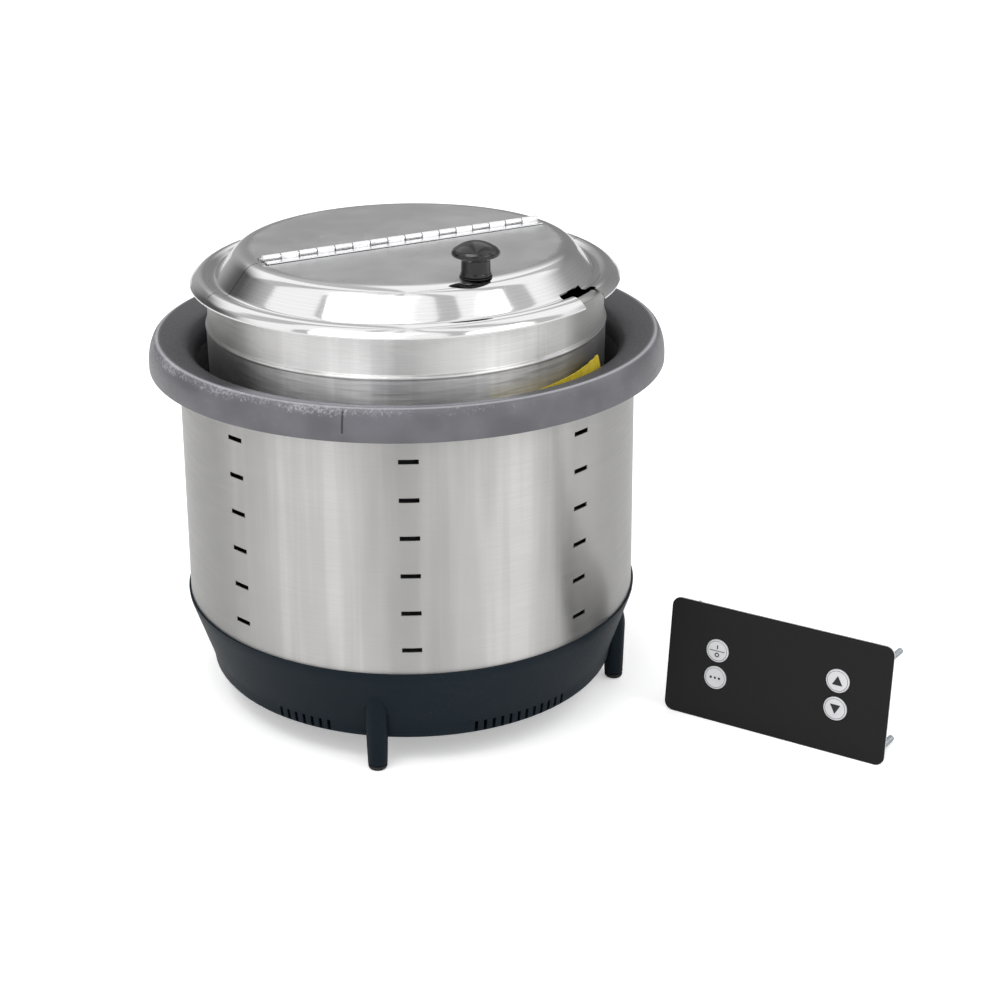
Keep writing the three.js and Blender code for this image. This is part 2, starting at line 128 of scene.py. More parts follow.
def turned_grid(profile, azimuths):
    """A (radius, height) profile carried round Z: at azimuth a a profile point lies at
    (radius sin a, -radius cos a, height)."""
    a = np.radians(np.asarray(azimuths, float))[:, None]
    r, z = np.asarray(profile, float).T[:, None, :]
    return np.stack([r * np.sin(a), -r * np.cos(a), z + 0 * a], -1)


def turned(profile, sides=192, closed=True):
    """The closed skin that a counterclockwise (radius, height) outline sweeps in a full turn.
    An open outline starts and ends on the axis."""
    grid = turned_grid(profile, np.arange(sides) * FULL_TURN / sides)
    return grid.reshape(-1, 3), quads(*grid.shape[:2], loop_rows=True, loop_columns=closed)


def walled(outer, inner, cells):
    """A sheet with thickness: the outer skin, the inner skin turned over, and a wall along
    every edge that only one cell has, which closes the border and each hole."""
    count = len(outer)
    edges = np.stack([cells, np.roll(cells, -1, 1)], -1).reshape(-1, 2)
    key = edges[:, 0] * count + edges[:, 1]
    border = edges[~np.isin(key, edges[:, 1] * count + edges[:, 0])]
    wall = np.stack([border[:, 1], border[:, 0], border[:, 0] + count, border[:, 1] + count], -1)
    return np.concatenate([outer, inner]), np.concatenate([cells, cells[:, ::-1] + count, wall])


def eased(outline, cut, steps=5, closed=True):
    """Each corner of an outline becomes a parabola that leaves its two sides at the distance
    cut from it, or at 45% of a side that is too short for that."""
    p = np.asarray(outline, float)
    cut = np.broadcast_to(np.asarray(cut, float), len(p))[:, None]

    def along(side):
        return side * np.minimum(cut / np.linalg.norm(side, axis=1, keepdims=True), 0.45)

    start = p + along(np.roll(p, 1, 0) - p)
    end = p + along(np.roll(p, -1, 0) - p)
    if not closed:
        start[0] = end[0] = p[0]
        start[-1] = end[-1] = p[-1]
    t = np.linspace(0, 1, steps)[None, :, None]
    curve = (1 - t) ** 2 * start[:, None] + 2 * t * (1 - t) * p[:, None] + t**2 * end[:, None]
    return curve.reshape(-1, 2)


def resampled(profile, step):
    """Points added along a profile so that none of its sides is longer than step."""
    p = np.asarray(profile, float)
    length = np.linalg.norm(np.diff(p, axis=0), axis=1)
    at = np.concatenate([[0], np.cumsum(length)])
    extra = [np.linspace(a, b, max(2, int(np.ceil((b - a) / step)) + 1)) for a, b in zip(at, at[1:])]
    where = np.unique(np.concatenate(extra))
    return np.stack([np.interp(where, at, p[:, 0]), np.interp(where, at, p[:, 1])], -1)


def arc(x, y, radius, start, end, steps):
    """Points on a circle's arc, at equal angles from start to end in degrees."""
    a = np.radians(np.linspace(start, end, steps))
    return np.stack([x + radius * np.cos(a), y + radius * np.sin(a)], -1)


def outline_of(*pieces):
    """Joins points and arcs into one outline."""
    return np.concatenate([np.atleast_2d(np.asarray(p, float)) for p in pieces])


def slab(loops, low, high, ease):
    """A plate between two heights. Its outer loop runs counterclockwise and its holes run
    clockwise. Each loop becomes four rings, the end ones moved into the material by ease."""
    points, faces, rims, start = [], [], [], 0
    for loop in loops:
        p = np.asarray(loop, float)
        side = np.roll(p, -1, 0) - np.roll(p, 1, 0)
        side /= np.linalg.norm(side, axis=1, keepdims=True)
        inset = p + ease * np.stack([-side[:, 1], side[:, 0]], -1)
        rings = [(inset, low), (p, low + ease), (p, high - ease), (inset, high)]
        grid = np.stack([np.column_stack([q, np.full(len(q), z)]) for q, z in rings], 1)
        points.append(grid.reshape(-1, 3))
        faces += (quads(len(p), 4, loop_rows=True) + start).tolist()
        rims.append((inset, start + 4 * np.arange(len(p))))
        start += 4 * len(p)
    numbers = np.concatenate([index for _, index in rims])
    flat = [[Vector((x, y, 0)) for x, y in q] for q, _ in rims]
    cap = numbers[np.array(tessellate_polygon(flat))]
    shape = np.concatenate(points)
    a, b, c = (shape[cap[:, k], :2] for k in range(3))
    area = (b - a)[:, 0] * (c - a)[:, 1] - (b - a)[:, 1] * (c - a)[:, 0]
    cap = np.where((area > 0)[:, None], cap, cap[:, ::-1])
    faces += cap[:, ::-1].tolist() + (cap + 3).tolist()
    return shape, faces


def circle(radius, x=0.0, y=0.0, sides=64, clockwise=False):
    """Points of a circle, counterclockwise unless it bounds a hole."""
    ring = arc(x, y, radius, 0, FULL_TURN * (1 - 1 / sides), sides)
    return ring[::-1] if clockwise else ring


def rounded_box(width, height, corner, x=0.0, y=0.0, steps=9):
    """A rectangle with its corners rounded, centred on x and y."""
    w, h = width / 2 - corner, height / 2 - corner
    return outline_of(
        arc(x + w, y - h, corner, -90, 0, steps), arc(x + w, y + h, corner, 0, 90, steps),
        arc(x - w, y + h, corner, 90, 180, steps), arc(x - w, y - h, corner, 180, 270, steps),
    )


def moved(part, matrix):
    """A part with its points carried by a 4 by 4 matrix whose lengths are millimetres."""
    points, faces = part[:2]
    m = np.array(matrix, float)
    return (points @ m[:3, :3].T + m[:3, 3], faces, *part[2:])


def spin(degrees, axis="Z"):
    """A turn about an axis as a 4 by 4 matrix."""
    return Matrix.Rotation(math.radians(degrees), 4, axis)


def shift(x, y, z):
    """A move as a 4 by 4 matrix."""
    return Matrix.Translation((x, y, z))


COVER_PLACE = spin(HINGE_TURN)
PANEL_MATRIX = shift(*PANEL_PLACE) @ spin(PANEL_TURN) @ spin(90 - PANEL_LEAN, "X")
ALONG_X = Matrix(((0, 0, 1, 0), (1, 0, 0, 0), (0, 1, 0, 0), (0, 0, 0, 1)))


def piece(name, parts, finishes, body, nodes=(), sharp=SHARP):
    """Makes one object from closed parts, each (points, faces) or (points, faces, finish
    number). It rides on its body and stands for the CAD nodes named."""
    points, faces, numbers, start = [], [], [], 0
    for part in parts:
        cells = part[1] if isinstance(part[1], list) else part[1].tolist()
        faces += [[corner + start for corner in cell] for cell in cells]
        numbers += [part[2] if len(part) > 2 else 0] * len(cells)
        points.append(part[0])
        start += len(part[0])
    mesh = bpy.data.meshes.new(name)
    mesh.from_pydata((np.concatenate(points) * MM).tolist(), [], faces)
    mesh.polygons.foreach_set("material_index", numbers)
    work = bmesh.new()
    work.from_mesh(mesh)
    bmesh.ops.remove_doubles(work, verts=work.verts, dist=2e-6)
    if work.calc_volume(signed=True) <= 0:
        raise RuntimeError(f"{name} is inside out")
    work.to_mesh(mesh)
    work.free()
    mesh.shade_smooth()
    mesh.set_sharp_from_angle(angle=sharp)
    for material in finishes:
        mesh.materials.append(material)
    obj = bpy.data.objects.new(name, mesh)
    bpy.context.scene.collection.objects.link(obj)
    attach(obj, body)
    if nodes:
        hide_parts(*nodes)
    return obj


# ---- shader helpers and shared effects ------------------------------------
class Nodes:
    """Adds nodes to a tree and links what is passed as a socket."""

    def __init__(self, tree):
        self.tree = tree

    def add(self, kind, inputs=None, **settings):
        made = self.tree.nodes.new(kind)
        for key, value in settings.items():
            setattr(made, key, value)
        for key, value in (inputs or {}).items():
            self.feed(made.inputs[key], value)
        return made

    def feed(self, socket, value):
        """Links a socket, or sets a constant on the input itself."""
        if isinstance(value, bpy.types.NodeSocket):
            self.tree.links.new(value, socket)
        else:
            socket.default_value = value

    def math(self, operation, a, b=0.0, clamp=False):
        return self.add("ShaderNodeMath", {0: a, 1: b}, operation=operation, use_clamp=clamp).outputs[0]

    def span(self, value, low, high, to_low=0.0, to_high=1.0, smooth=True):
        """Takes the range low to high onto to_low to to_high, with soft ends."""
        kind = "SMOOTHSTEP" if smooth else "LINEAR"
        inputs = {"Value": value, 1: low, 2: high, 3: to_low, 4: to_high}
        return self.add("ShaderNodeMapRange", inputs, interpolation_type=kind).outputs["Result"]

    def band(self, value, rise, fall):
        """1 between two edges: up over the pair rise, down again over the pair fall."""
        return self.math("MULTIPLY", self.span(value, *rise), self.span(value, fall[1], fall[0]))

    def mix(self, share, a, b):
        """The colour a blended towards the colour b by a share."""
        made = self.add("ShaderNodeMix", data_type="RGBA")
        self.feed(made.inputs["Factor"], share)
        self.feed([s for s in made.inputs if s.name == "A" and s.type == "RGBA"][0], a)
        self.feed([s for s in made.inputs if s.name == "B" and s.type == "RGBA"][0], b)
        return [s for s in made.outputs if s.type == "RGBA"][0]

    def noise(self, vector, scale, detail=3.0, rough=0.5, distortion=0.0):
        inputs = {"Vector": vector, "Scale": scale, "Detail": detail, "Roughness": rough,
                  "Distortion": distortion}
        return self.add("ShaderNodeTexNoise", inputs).outputs["Fac"]


def effect(name, inputs, outputs, fill):
    """Builds a shader node group once: named float or vector inputs, float outputs."""
    group = bpy.data.node_groups.get(name)
    if group is None:
        group = bpy.data.node_groups.new(name, "ShaderNodeTree")
        for label, default in inputs.items():
            kind = "NodeSocketVector" if default is None else "NodeSocketFloat"
            socket = group.interface.new_socket(name=label, in_out="INPUT", socket_type=kind)
            if default is not None:
                socket.default_value = default
        for label in outputs:
            group.interface.new_socket(name=label, in_out="OUTPUT", socket_type="NodeSocketFloat")
        nodes = Nodes(group)
        source = nodes.add("NodeGroupInput")
        sink = nodes.add("NodeGroupOutput")
        for label, socket in fill(nodes, source.outputs).items():
            nodes.feed(sink.inputs[label], socket)
    return group


def brushed_group():
    """Fine brush lines: noise that changes slowly along the lines and quickly across them."""
    def fill(n, given):
        parts = n.add("ShaderNodeSeparateXYZ", {0: given["Vector"]}).outputs
        x = n.math("MULTIPLY", parts[0], given["Along"])
        y = n.math("MULTIPLY", parts[1], given["Along"])
        z = n.math("MULTIPLY", parts[2], given["Across"])
        stretched = n.add("ShaderNodeCombineXYZ", {0: x, 1: y, 2: z}).outputs[0]
        fine = n.noise(stretched, 1.0, 4.0, 0.62)
        broad = n.noise(given["Vector"], given["Cloud"], 2.0)
        return {"Lines": fine, "Cloud": broad}

    inputs = {"Vector": None, "Along": 30.0, "Across": 2600.0, "Cloud": 22.0}
    return effect("Brushed lines", inputs, ["Lines", "Cloud"], fill)


def grain_group():
    """Moulded grain: small cells mixed with fine noise, as a height from 0 to 1."""
    def fill(n, given):
        cells = n.add("ShaderNodeTexVoronoi", {"Vector": given["Vector"], "Scale": given["Scale"]},
                      feature="SMOOTH_F1").outputs["Distance"]
        fine = n.noise(given["Vector"], given["Scale"], 4.0, 0.6)
        cloud = n.noise(given["Vector"], given["Cloud"], 3.0)
        return {"Height": n.math("ADD", n.math("MULTIPLY", cells, 0.5), n.math("MULTIPLY", fine, 0.5)),
                "Cloud": cloud}

    return effect("Moulded grain", {"Vector": None, "Scale": 900.0, "Cloud": 14.0}, ["Height", "Cloud"], fill)


def scuff_group():
    """Scuffs: patches of rubbing broken up by fine noise, 1 where the surface is worn."""
    def fill(n, given):
        patch = n.span(n.noise(given["Vector"], given["Patch"], 3.0, 0.6), 0.42, 0.66)
        speck = n.noise(given["Vector"], given["Speck"], 5.0, 0.7, 0.6)
        limit = n.math("SUBTRACT", 0.78, n.math("MULTIPLY", given["Amount"], 0.4))
        worn = n.span(n.math("ADD", speck, n.math("MULTIPLY", patch, 0.12)), limit,
                      n.math("ADD", limit, 0.16))
        return {"Mask": n.math("MULTIPLY", worn, given["Amount"], clamp=True)}

    inputs = {"Vector": None, "Patch": 26.0, "Speck": 420.0, "Amount": 0.5}
    return effect("Scuffs", inputs, ["Mask"], fill)


def around_group():
    """Where a point is round the kettle's axis: its distance from it in metres, and how much
    it faces an azimuth, from 0 behind to 1 in front."""
    def fill(n, given):
        parts = n.add("ShaderNodeSeparateXYZ", {0: given["Vector"]}).outputs
        square = n.math("ADD", n.math("MULTIPLY", parts[0], parts[0]), n.math("MULTIPLY", parts[1], parts[1]))
        radius = n.math("SQRT", square)
        a = n.math("MULTIPLY", given["Azimuth"], math.pi / 180)
        toward = n.math("SUBTRACT", n.math("MULTIPLY", parts[0], n.math("SINE", a)),
                        n.math("MULTIPLY", parts[1], n.math("COSINE", a)))
        facing = n.math("MULTIPLY_ADD", n.math("DIVIDE", toward, n.math("MAXIMUM", radius, 1e-5)), 0.5)
        facing.node.inputs[2].default_value = 0.5
        return {"Radius": radius, "Facing": facing, "Height": parts[2]}

    return effect("Round the axis", {"Vector": None, "Azimuth": 0.0}, ["Radius", "Facing", "Height"], fill)


def start_finish(name, roughness, metallic=0.0, **sockets):
    """A new material with its shader, its node helper and Object coordinates."""
    material = bpy.data.materials.new(name)
    material.use_nodes = True
    tree = material.node_tree
    tree.nodes.clear()
    n = Nodes(tree)
    shader = n.add("ShaderNodeBsdfPrincipled", {"Roughness": roughness, "Metallic": metallic})
    for key, value in sockets.items():
        shader.inputs[key.replace("_", " ")].default_value = value
    sink = n.add("ShaderNodeOutputMaterial")
    tree.links.new(shader.outputs[0], sink.inputs[0])
    place = n.add("ShaderNodeTexCoord").outputs["Object"]
    return material, n, shader.inputs, place


def use(n, group, place, **values):
    """Places a shared effect and gives its outputs."""
    made = n.add("ShaderNodeGroup", node_tree=group)
    n.feed(made.inputs["Vector"], place)
    for label, value in values.items():
        n.feed(made.inputs[label], value)
    return made.outputs


def bump(n, height, strength, distance):
    """The normal of a surface raised by a height; the distance is in metres."""
    inputs = {"Height": height, "Strength": strength, "Distance": distance}
    return n.add("ShaderNodeBump", inputs).outputs["Normal"]


def rgb(colour, scale=1.0):
    """A colour made lighter or darker, with its alpha."""
    return (*(min(1.0, c * scale) for c in colour), 1.0)


FINISHES = {}


def finish(name):
    """The finish of that name, made the first time it is asked for."""
    if name not in FINISHES:
        FINISHES[name] = MAKERS[name](bpy.context.scene.kettle_colours)
    return FINISHES[name]


def brushed_steel(name, colour, rough, along, across, contrast, anisotropic=0.75, tilt=0.25, edge=1.0):
    """Sheet steel with a lengthwise brushing, faint clouds, and upright dark streaks at random places that
    are painted reflection bands. Where it turns away from the view its colour falls to the share edge:
    painted shade towards the outline."""
    material, n, shader, place = start_finish(name, rough, 1.0, Anisotropic=anisotropic,
                                              Anisotropic_Rotation=tilt)
    tangent = n.add("ShaderNodeTangent", direction_type="RADIAL", axis="Z").outputs[0]
    n.feed(shader["Tangent"], tangent)
    lines = use(n, brushed_group(), place, Along=along, Across=across)
    deep = n.noise(place, 3.0, 1.0)
    share = n.span(lines["Lines"], 0.3, 0.7)
    tone = n.mix(share, rgb(colour, 1 - contrast), rgb(colour, 1 + contrast))
    cloudy = n.mix(n.span(lines["Cloud"], 0.35, 0.7, 0.0, 0.35), tone, rgb(colour, 0.82))
    # Painted reflection: random upright dark streaks and wider dark bands stand in for the streaked
    # reflections of brushed steel
    upright = n.add("ShaderNodeMapping", {"Vector": place, "Scale": (70.0, 70.0, 2.5)}).outputs[0]
    streak = n.span(n.noise(upright, 1.0, 3.0, 0.6), 0.36, 0.6)
    streaky = n.mix(n.math("MULTIPLY", streak, 0.34), cloudy, rgb(colour, 0.62))
    wide = n.add("ShaderNodeMapping", {"Vector": place, "Scale": (24.0, 24.0, 3.0)}).outputs[0]
    band = n.span(n.noise(wide, 1.0, 2.0, 0.5), 0.48, 0.64)
    streaky = n.mix(n.math("MULTIPLY", band, 0.4), streaky, rgb(colour, 0.6))
    # Painted shade: the colour falls towards rgb(colour, edge) where the surface turns away from the view
    turned_away = n.add("ShaderNodeLayerWeight", {"Blend": 0.5}).outputs["Facing"]
    shade = n.span(turned_away, 0.3, 0.56, 0.0, 1.0)
    n.feed(shader["Base Color"], n.mix(shade, streaky, rgb(colour, edge)))
    wear = n.math("ADD", n.span(lines["Lines"], 0.25, 0.75, rough - 0.06, rough + 0.08),
                  n.span(deep, 0.4, 0.7, 0.0, 0.05))
    n.feed(shader["Roughness"], wear)
    n.feed(shader["Normal"], bump(n, lines["Lines"], 0.22, 0.00004))
    return material


def make_shell_steel(c):
    # edge=0.66 paints shade where the shell turns away from the view
    return brushed_steel("Brushed shell steel", c.steel, 0.34, 26.0, 2400.0, 0.06, 0.95, edge=0.66)


def make_inset_steel(c):
    # edge=0.45 paints shade where the inset turns away from the view
    return brushed_steel("Brushed inset steel", c.inset, 0.36, 40.0, 1500.0, 0.13, 0.95, edge=0.45)


def make_cover_steel(c):
    """The cover: satin on the crown, polished on the dome's wall and the flange, with faint
    spun rings and hairline scratches."""
    material, n, shader, place = start_finish("Spun cover steel", 0.2, 1.0)
    around = use(n, around_group(), place)
    rings = n.noise(n.add("ShaderNodeCombineXYZ", {0: around["Radius"]}).outputs[0], 1500.0, 3.0, 0.6)
    smudge = n.noise(place, 26.0, 4.0, 0.6)
    hair = n.noise(n.add("ShaderNodeMapping", {"Vector": place, "Scale": (900.0, 40.0, 300.0),
                                               "Rotation": (0.0, 0.0, 0.9)}).outputs[0], 1.0, 2.0)
    crown = n.span(around["Radius"], 0.1075, 0.1005)
    satin = n.span(smudge, 0.3, 0.75, 0.3, 0.38)
    polished = n.span(smudge, 0.35, 0.75, 0.07, 0.13)
    rough = n.add("ShaderNodeMix", {"Factor": crown}, data_type="FLOAT")
    n.feed(rough.inputs[2], polished)
    n.feed(rough.inputs[3], satin)
    n.feed(shader["Roughness"], n.math("ADD", rough.outputs[0], n.span(hair, 0.66, 0.76, 0.0, 0.12)))
    tone = n.mix(n.span(rings, 0.3, 0.7), rgb(c.polished, 0.94), rgb(c.polished, 1.04))
    n.feed(shader["Base Color"], n.mix(n.math("MULTIPLY", crown, 0.9), tone, rgb(c.crown)))
    n.feed(shader["Normal"], bump(n, n.math("ADD", rings, n.math("MULTIPLY", hair, 0.4)), 0.1, 0.00004))
    return material


def make_bright_steel(c):
    """Plated steel for the hinge and screws, with a light drawn grain."""
    material, n, shader, place = start_finish("Bright plated steel", 0.2, 1.0)
    grain = use(n, grain_group(), place, Scale=1800.0, Cloud=120.0)
    n.feed(shader["Base Color"], n.mix(grain["Cloud"], rgb(c.bright, 0.86), rgb(c.bright, 1.04)))
    n.feed(shader["Roughness"], n.span(grain["Height"], 0.2, 0.8, 0.16, 0.34))
    n.feed(shader["Normal"], bump(n, grain["Height"], 0.12, 0.00005))
    return material


def make_zinc(c):
    """Dull bluish zinc plating for the panel's studs."""
    material, n, shader, place = start_finish("Zinc plate", 0.3, 1.0)
    grain = use(n, grain_group(), place, Scale=1400.0, Cloud=160.0)
    n.feed(shader["Base Color"], n.mix(grain["Cloud"], rgb(c.zinc, 0.8), rgb(c.zinc, 1.15)))
    n.feed(shader["Roughness"], n.span(grain["Height"], 0.2, 0.8, 0.24, 0.4))
    n.feed(shader["Normal"], bump(n, grain["Height"], 0.15, 0.00005))
    return material


def make_navy_plastic(c):
    """Dark blue-grey moulded plastic with a fine spark-eroded grain and dusty patches."""
    material, n, shader, place = start_finish("Navy moulded plastic", 0.46, Specular_IOR_Level=0.1)
    grain = use(n, grain_group(), place, Scale=1300.0, Cloud=16.0)
    dust = use(n, scuff_group(), place, Patch=18.0, Speck=900.0, Amount=0.35)
    tone = n.mix(grain["Cloud"], rgb(c.navy, 0.85), rgb(c.navy, 1.2))
    n.feed(shader["Base Color"], n.mix(n.math("MULTIPLY", dust["Mask"], 0.3), tone, (0.09, 0.1, 0.11, 1)))
    n.feed(shader["Roughness"], n.span(grain["Height"], 0.2, 0.8, 0.4, 0.54))
    n.feed(shader["Normal"], bump(n, grain["Height"], 0.3, 0.00012))
    return material


def make_rim_resin(c):
    """Grey cast resin. Its sloping top is darkened by painted shade except where it faces the front, where a
    pale painted reflection lightens it, and a pale painted highlight runs along the crest. The ridge and the
    inner edge are rubbed, most of all towards the front left, and one short knife mark crosses the rounded
    side."""
    material, n, shader, place = start_finish("Grey cast resin", 0.42, Specular_IOR_Level=0.45)
    around = use(n, around_group(), place, Azimuth=RUBBED_SIDE)
    front = use(n, around_group(), place, Azimuth=PAINTED_REFLECTION_SIDE)["Facing"]
    from_mark = use(n, around_group(), place, Azimuth=KNIFE_MARK + 90.0)["Facing"]
    radius = around["Radius"]
    grain = use(n, grain_group(), place, Scale=700.0, Cloud=30.0)

    ridge = n.band(radius, (0.1635, 0.1665), (0.169, 0.1715))
    inner = n.band(radius, (0.146, 0.149), (0.151, 0.1545))
    side = n.span(around["Facing"], 0.45, 0.97)
    rubbed = n.math("MAXIMUM", ridge, n.math("MULTIPLY", inner, 0.5))
    lift = n.math("ADD", n.math("MULTIPLY", side, 0.6), 0.1)
    worn = use(n, scuff_group(), place, Patch=34.0, Speck=520.0, Amount=n.math("MULTIPLY", rubbed, lift))
    everywhere = use(n, scuff_group(), place, Patch=60.0, Speck=260.0, Amount=0.3)

    tone = n.mix(n.span(grain["Cloud"], 0.3, 0.7), rgb(c.rim, 0.8), rgb(c.rim, 1.12))
    tone = n.mix(n.math("MULTIPLY", everywhere["Mask"], 0.4), tone, rgb(c.rim, 2.2))
    # Painted shade: the sloping top falls to 0.45 of the resin colour, except where it faces the front
    top = n.span(radius, 0.1652, 0.1636)
    ahead = n.span(front, 0.9, 0.965)
    tone = n.mix(n.math("MULTIPLY", top, n.math("SUBTRACT", 1.0, ahead)), tone, rgb(c.rim, 0.45))
    # Painted reflection: where the top faces the front it is lightened to 2.3 times the resin colour, in
    # clouds
    cloudy = n.span(grain["Cloud"], 0.2, 0.7, 0.6, 0.95)
    tone = n.mix(n.math("MULTIPLY", n.math("MULTIPLY", top, ahead), cloudy), tone, rgb(c.rim, 2.3))
    # Painted highlight: a thin pale line along the crest
    line = n.band(radius, (0.1649, 0.1656), (0.1664, 0.1676))
    tone = n.mix(n.math("MULTIPLY", line, 0.55), tone, (0.42, 0.42, 0.45, 1))

    across = n.math("ABSOLUTE", n.math("SUBTRACT", from_mark, 0.5))
    tall = n.band(around["Height"], (0.2185, 0.2195), (0.2315, 0.2325))
    knife = n.math("MULTIPLY", n.math("MULTIPLY", n.span(across, 0.0026, 0.0012), tall),
                   n.span(front, 0.8, 0.9))
    tone = n.mix(n.math("MULTIPLY", knife, 0.85), tone, rgb(c.rim, 0.12))
    n.feed(shader["Base Color"], n.mix(n.math("MULTIPLY", worn["Mask"], 0.55), tone, (0.5, 0.5, 0.52, 1)))

    rough = n.span(grain["Height"], 0.2, 0.8, 0.34, 0.5)
    n.feed(shader["Roughness"], n.math("ADD", rough, n.math("MULTIPLY", worn["Mask"], 0.2)))
    height = n.math("SUBTRACT", grain["Height"], n.math("MULTIPLY", worn["Mask"], 1.2))
    n.feed(shader["Normal"], bump(n, height, 0.35, 0.0002))
    return material


def make_well_resin(c):
    """Dark matt resin inside the well, dulled by limescale."""
    material, n, shader, place = start_finish("Dark well resin", 0.55)
    grain = use(n, grain_group(), place, Scale=500.0, Cloud=20.0)
    scale = use(n, scuff_group(), place, Patch=22.0, Speck=180.0, Amount=0.45)
    tone = n.mix(grain["Cloud"], rgb(c.well, 0.85), rgb(c.well, 1.15))
    n.feed(shader["Base Color"], n.mix(n.math("MULTIPLY", scale["Mask"], 0.25), tone, (0.4, 0.4, 0.41, 1)))
    n.feed(shader["Roughness"], n.span(grain["Height"], 0.2, 0.8, 0.46, 0.64))
    n.feed(shader["Normal"], bump(n, grain["Height"], 0.3, 0.0002))
    return material


def plain_plastic(name, colour, rough, grain_scale=1200.0, depth=0.00008, coat=0.0, speck=0.2):
    """Moulded plastic or rubber: faint colour clouds, a grain and a little dust."""
    material, n, shader, place = start_finish(name, rough, Coat_Weight=coat, Coat_Roughness=0.06)
    grain = use(n, grain_group(), place, Scale=grain_scale, Cloud=45.0)
    dust = use(n, scuff_group(), place, Patch=60.0, Speck=1100.0, Amount=speck)
    tone = n.mix(grain["Cloud"], rgb(colour, 0.85), rgb(colour, 1.15))
    n.feed(shader["Base Color"], n.mix(n.math("MULTIPLY", dust["Mask"], 0.25), tone, rgb(colour, 4.0)))
    n.feed(shader["Roughness"], n.span(grain["Height"], 0.2, 0.8, rough - 0.05, rough + 0.07))
    n.feed(shader["Normal"], bump(n, grain["Height"], 0.25, depth))
    return material


def make_knob_black(c):
    return plain_plastic("Gloss black knob", c.black, 0.12, 500.0, 0.00002, 0.0, 0.1)


def make_black_plastic(c):
    return plain_plastic("Black moulded plastic", c.black, 0.42)


def make_rubber(c):
    return plain_plastic("Black rubber", c.black, 0.7, 1600.0, 0.0001)


def make_panel_black(c):
    """Matt film over the panel: a fine etched grain, faint fingermarks and a few dust specks."""
    material, n, shader, place = start_finish("Matt panel film", 0.44, Specular_IOR_Level=0.18)
    grain = use(n, grain_group(), place, Scale=2600.0, Cloud=24.0)
    dust = use(n, scuff_group(), place, Patch=50.0, Speck=1500.0, Amount=0.16)
    tone = n.mix(grain["Cloud"], rgb(c.panel, 0.88), rgb(c.panel, 1.15))
    n.feed(shader["Base Color"], n.mix(n.math("MULTIPLY", dust["Mask"], 0.8), tone, (0.12, 0.12, 0.12, 1)))
    n.feed(shader["Roughness"], n.span(grain["Cloud"], 0.3, 0.7, 0.4, 0.5))
    n.feed(shader["Normal"], bump(n, grain["Height"], 0.25, 0.00005))
    return material


def make_button_grey(c):
    return plain_plastic("Pale button film", c.button, 0.5, 2400.0, 0.00003, speck=0.1)


def make_icon_ink(c):
    return plain_plastic("Dark icon ink", c.black, 0.6, 3000.0, 0.00002)


def make_card(c):
    """Coated card: paper fibres in its colour, roughness and surface."""
    material, n, shader, place = start_finish("Yellow card", 0.55)
    fibres = use(n, brushed_group(), place, Along=700.0, Across=260.0, Cloud=90.0)
    share = n.span(fibres["Lines"], 0.3, 0.75)
    n.feed(shader["Base Color"], n.mix(share, rgb(c.card, 0.8), rgb(c.card, 1.1)))
    n.feed(shader["Roughness"], n.span(fibres["Cloud"], 0.3, 0.7, 0.45, 0.62))
    n.feed(shader["Normal"], bump(n, fibres["Lines"], 0.3, 0.00008))
    return material


def make_copper(c):
    """Lacquered copper wire wound in close flat turns round the axis."""
    material, n, shader, place = start_finish("Wound copper", 0.3, 1.0, Coat_Weight=0.5)
    around = use(n, around_group(), place)
    turns = n.math("SINE", n.math("MULTIPLY", around["Radius"], 2 * math.pi / 0.0024))
    groove = n.span(turns, -1.0, 1.0)
    n.feed(shader["Base Color"], n.mix(groove, (0.28, 0.1, 0.03, 1), (0.78, 0.36, 0.16, 1)))
    n.feed(shader["Roughness"], n.span(groove, 0.0, 1.0, 0.55, 0.28))
    n.feed(shader["Normal"], bump(n, groove, 0.8, 0.0006))
    return material


def make_aluminium(c):
    return brushed_steel("Mill aluminium", c.aluminium, 0.36, 500.0, 500.0, 0.08, 0.0, 0.0)


def make_ferrite(c):
    return plain_plastic("Sintered ferrite", (0.03, 0.03, 0.032), 0.7, 900.0, 0.0002)


def make_board(c):
    """Green circuit board: copper tracks under the lacquer as square cells."""
    material, n, shader, place = start_finish("Green circuit board", 0.34)
    tracks = n.add("ShaderNodeTexVoronoi", {"Vector": place, "Scale": 260.0}, distance="CHEBYCHEV",
                   feature="F2").outputs["Distance"]
    mask = n.span(tracks, 0.5, 0.56)
    n.feed(shader["Base Color"], n.mix(mask, (0.008, 0.07, 0.03, 1), (0.03, 0.16, 0.07, 1)))
    n.feed(shader["Roughness"], n.span(mask, 0.0, 1.0, 0.42, 0.28))
    n.feed(shader["Normal"], bump(n, mask, 0.3, 0.00005))
    return material


MAKERS = {
    "shell steel": make_shell_steel, "inset steel": make_inset_steel, "cover steel": make_cover_steel,
    "bright steel": make_bright_steel, "zinc": make_zinc, "navy plastic": make_navy_plastic,
    "rim resin": make_rim_resin, "well resin": make_well_resin, "knob black": make_knob_black,
    "black plastic": make_black_plastic, "rubber": make_rubber, "panel black": make_panel_black,
    "button grey": make_button_grey, "icon ink": make_icon_ink, "card": make_card, "copper": make_copper,
    "aluminium": make_aluminium, "ferrite": make_ferrite, "board": make_board,
}


# ---- what a user can change -----------------------------------------------
def colour_property(name, description, default):
    return FloatVectorProperty(name=name, description=description, default=default, size=3, subtype="COLOR",
                               min=0.0, max=1.0)


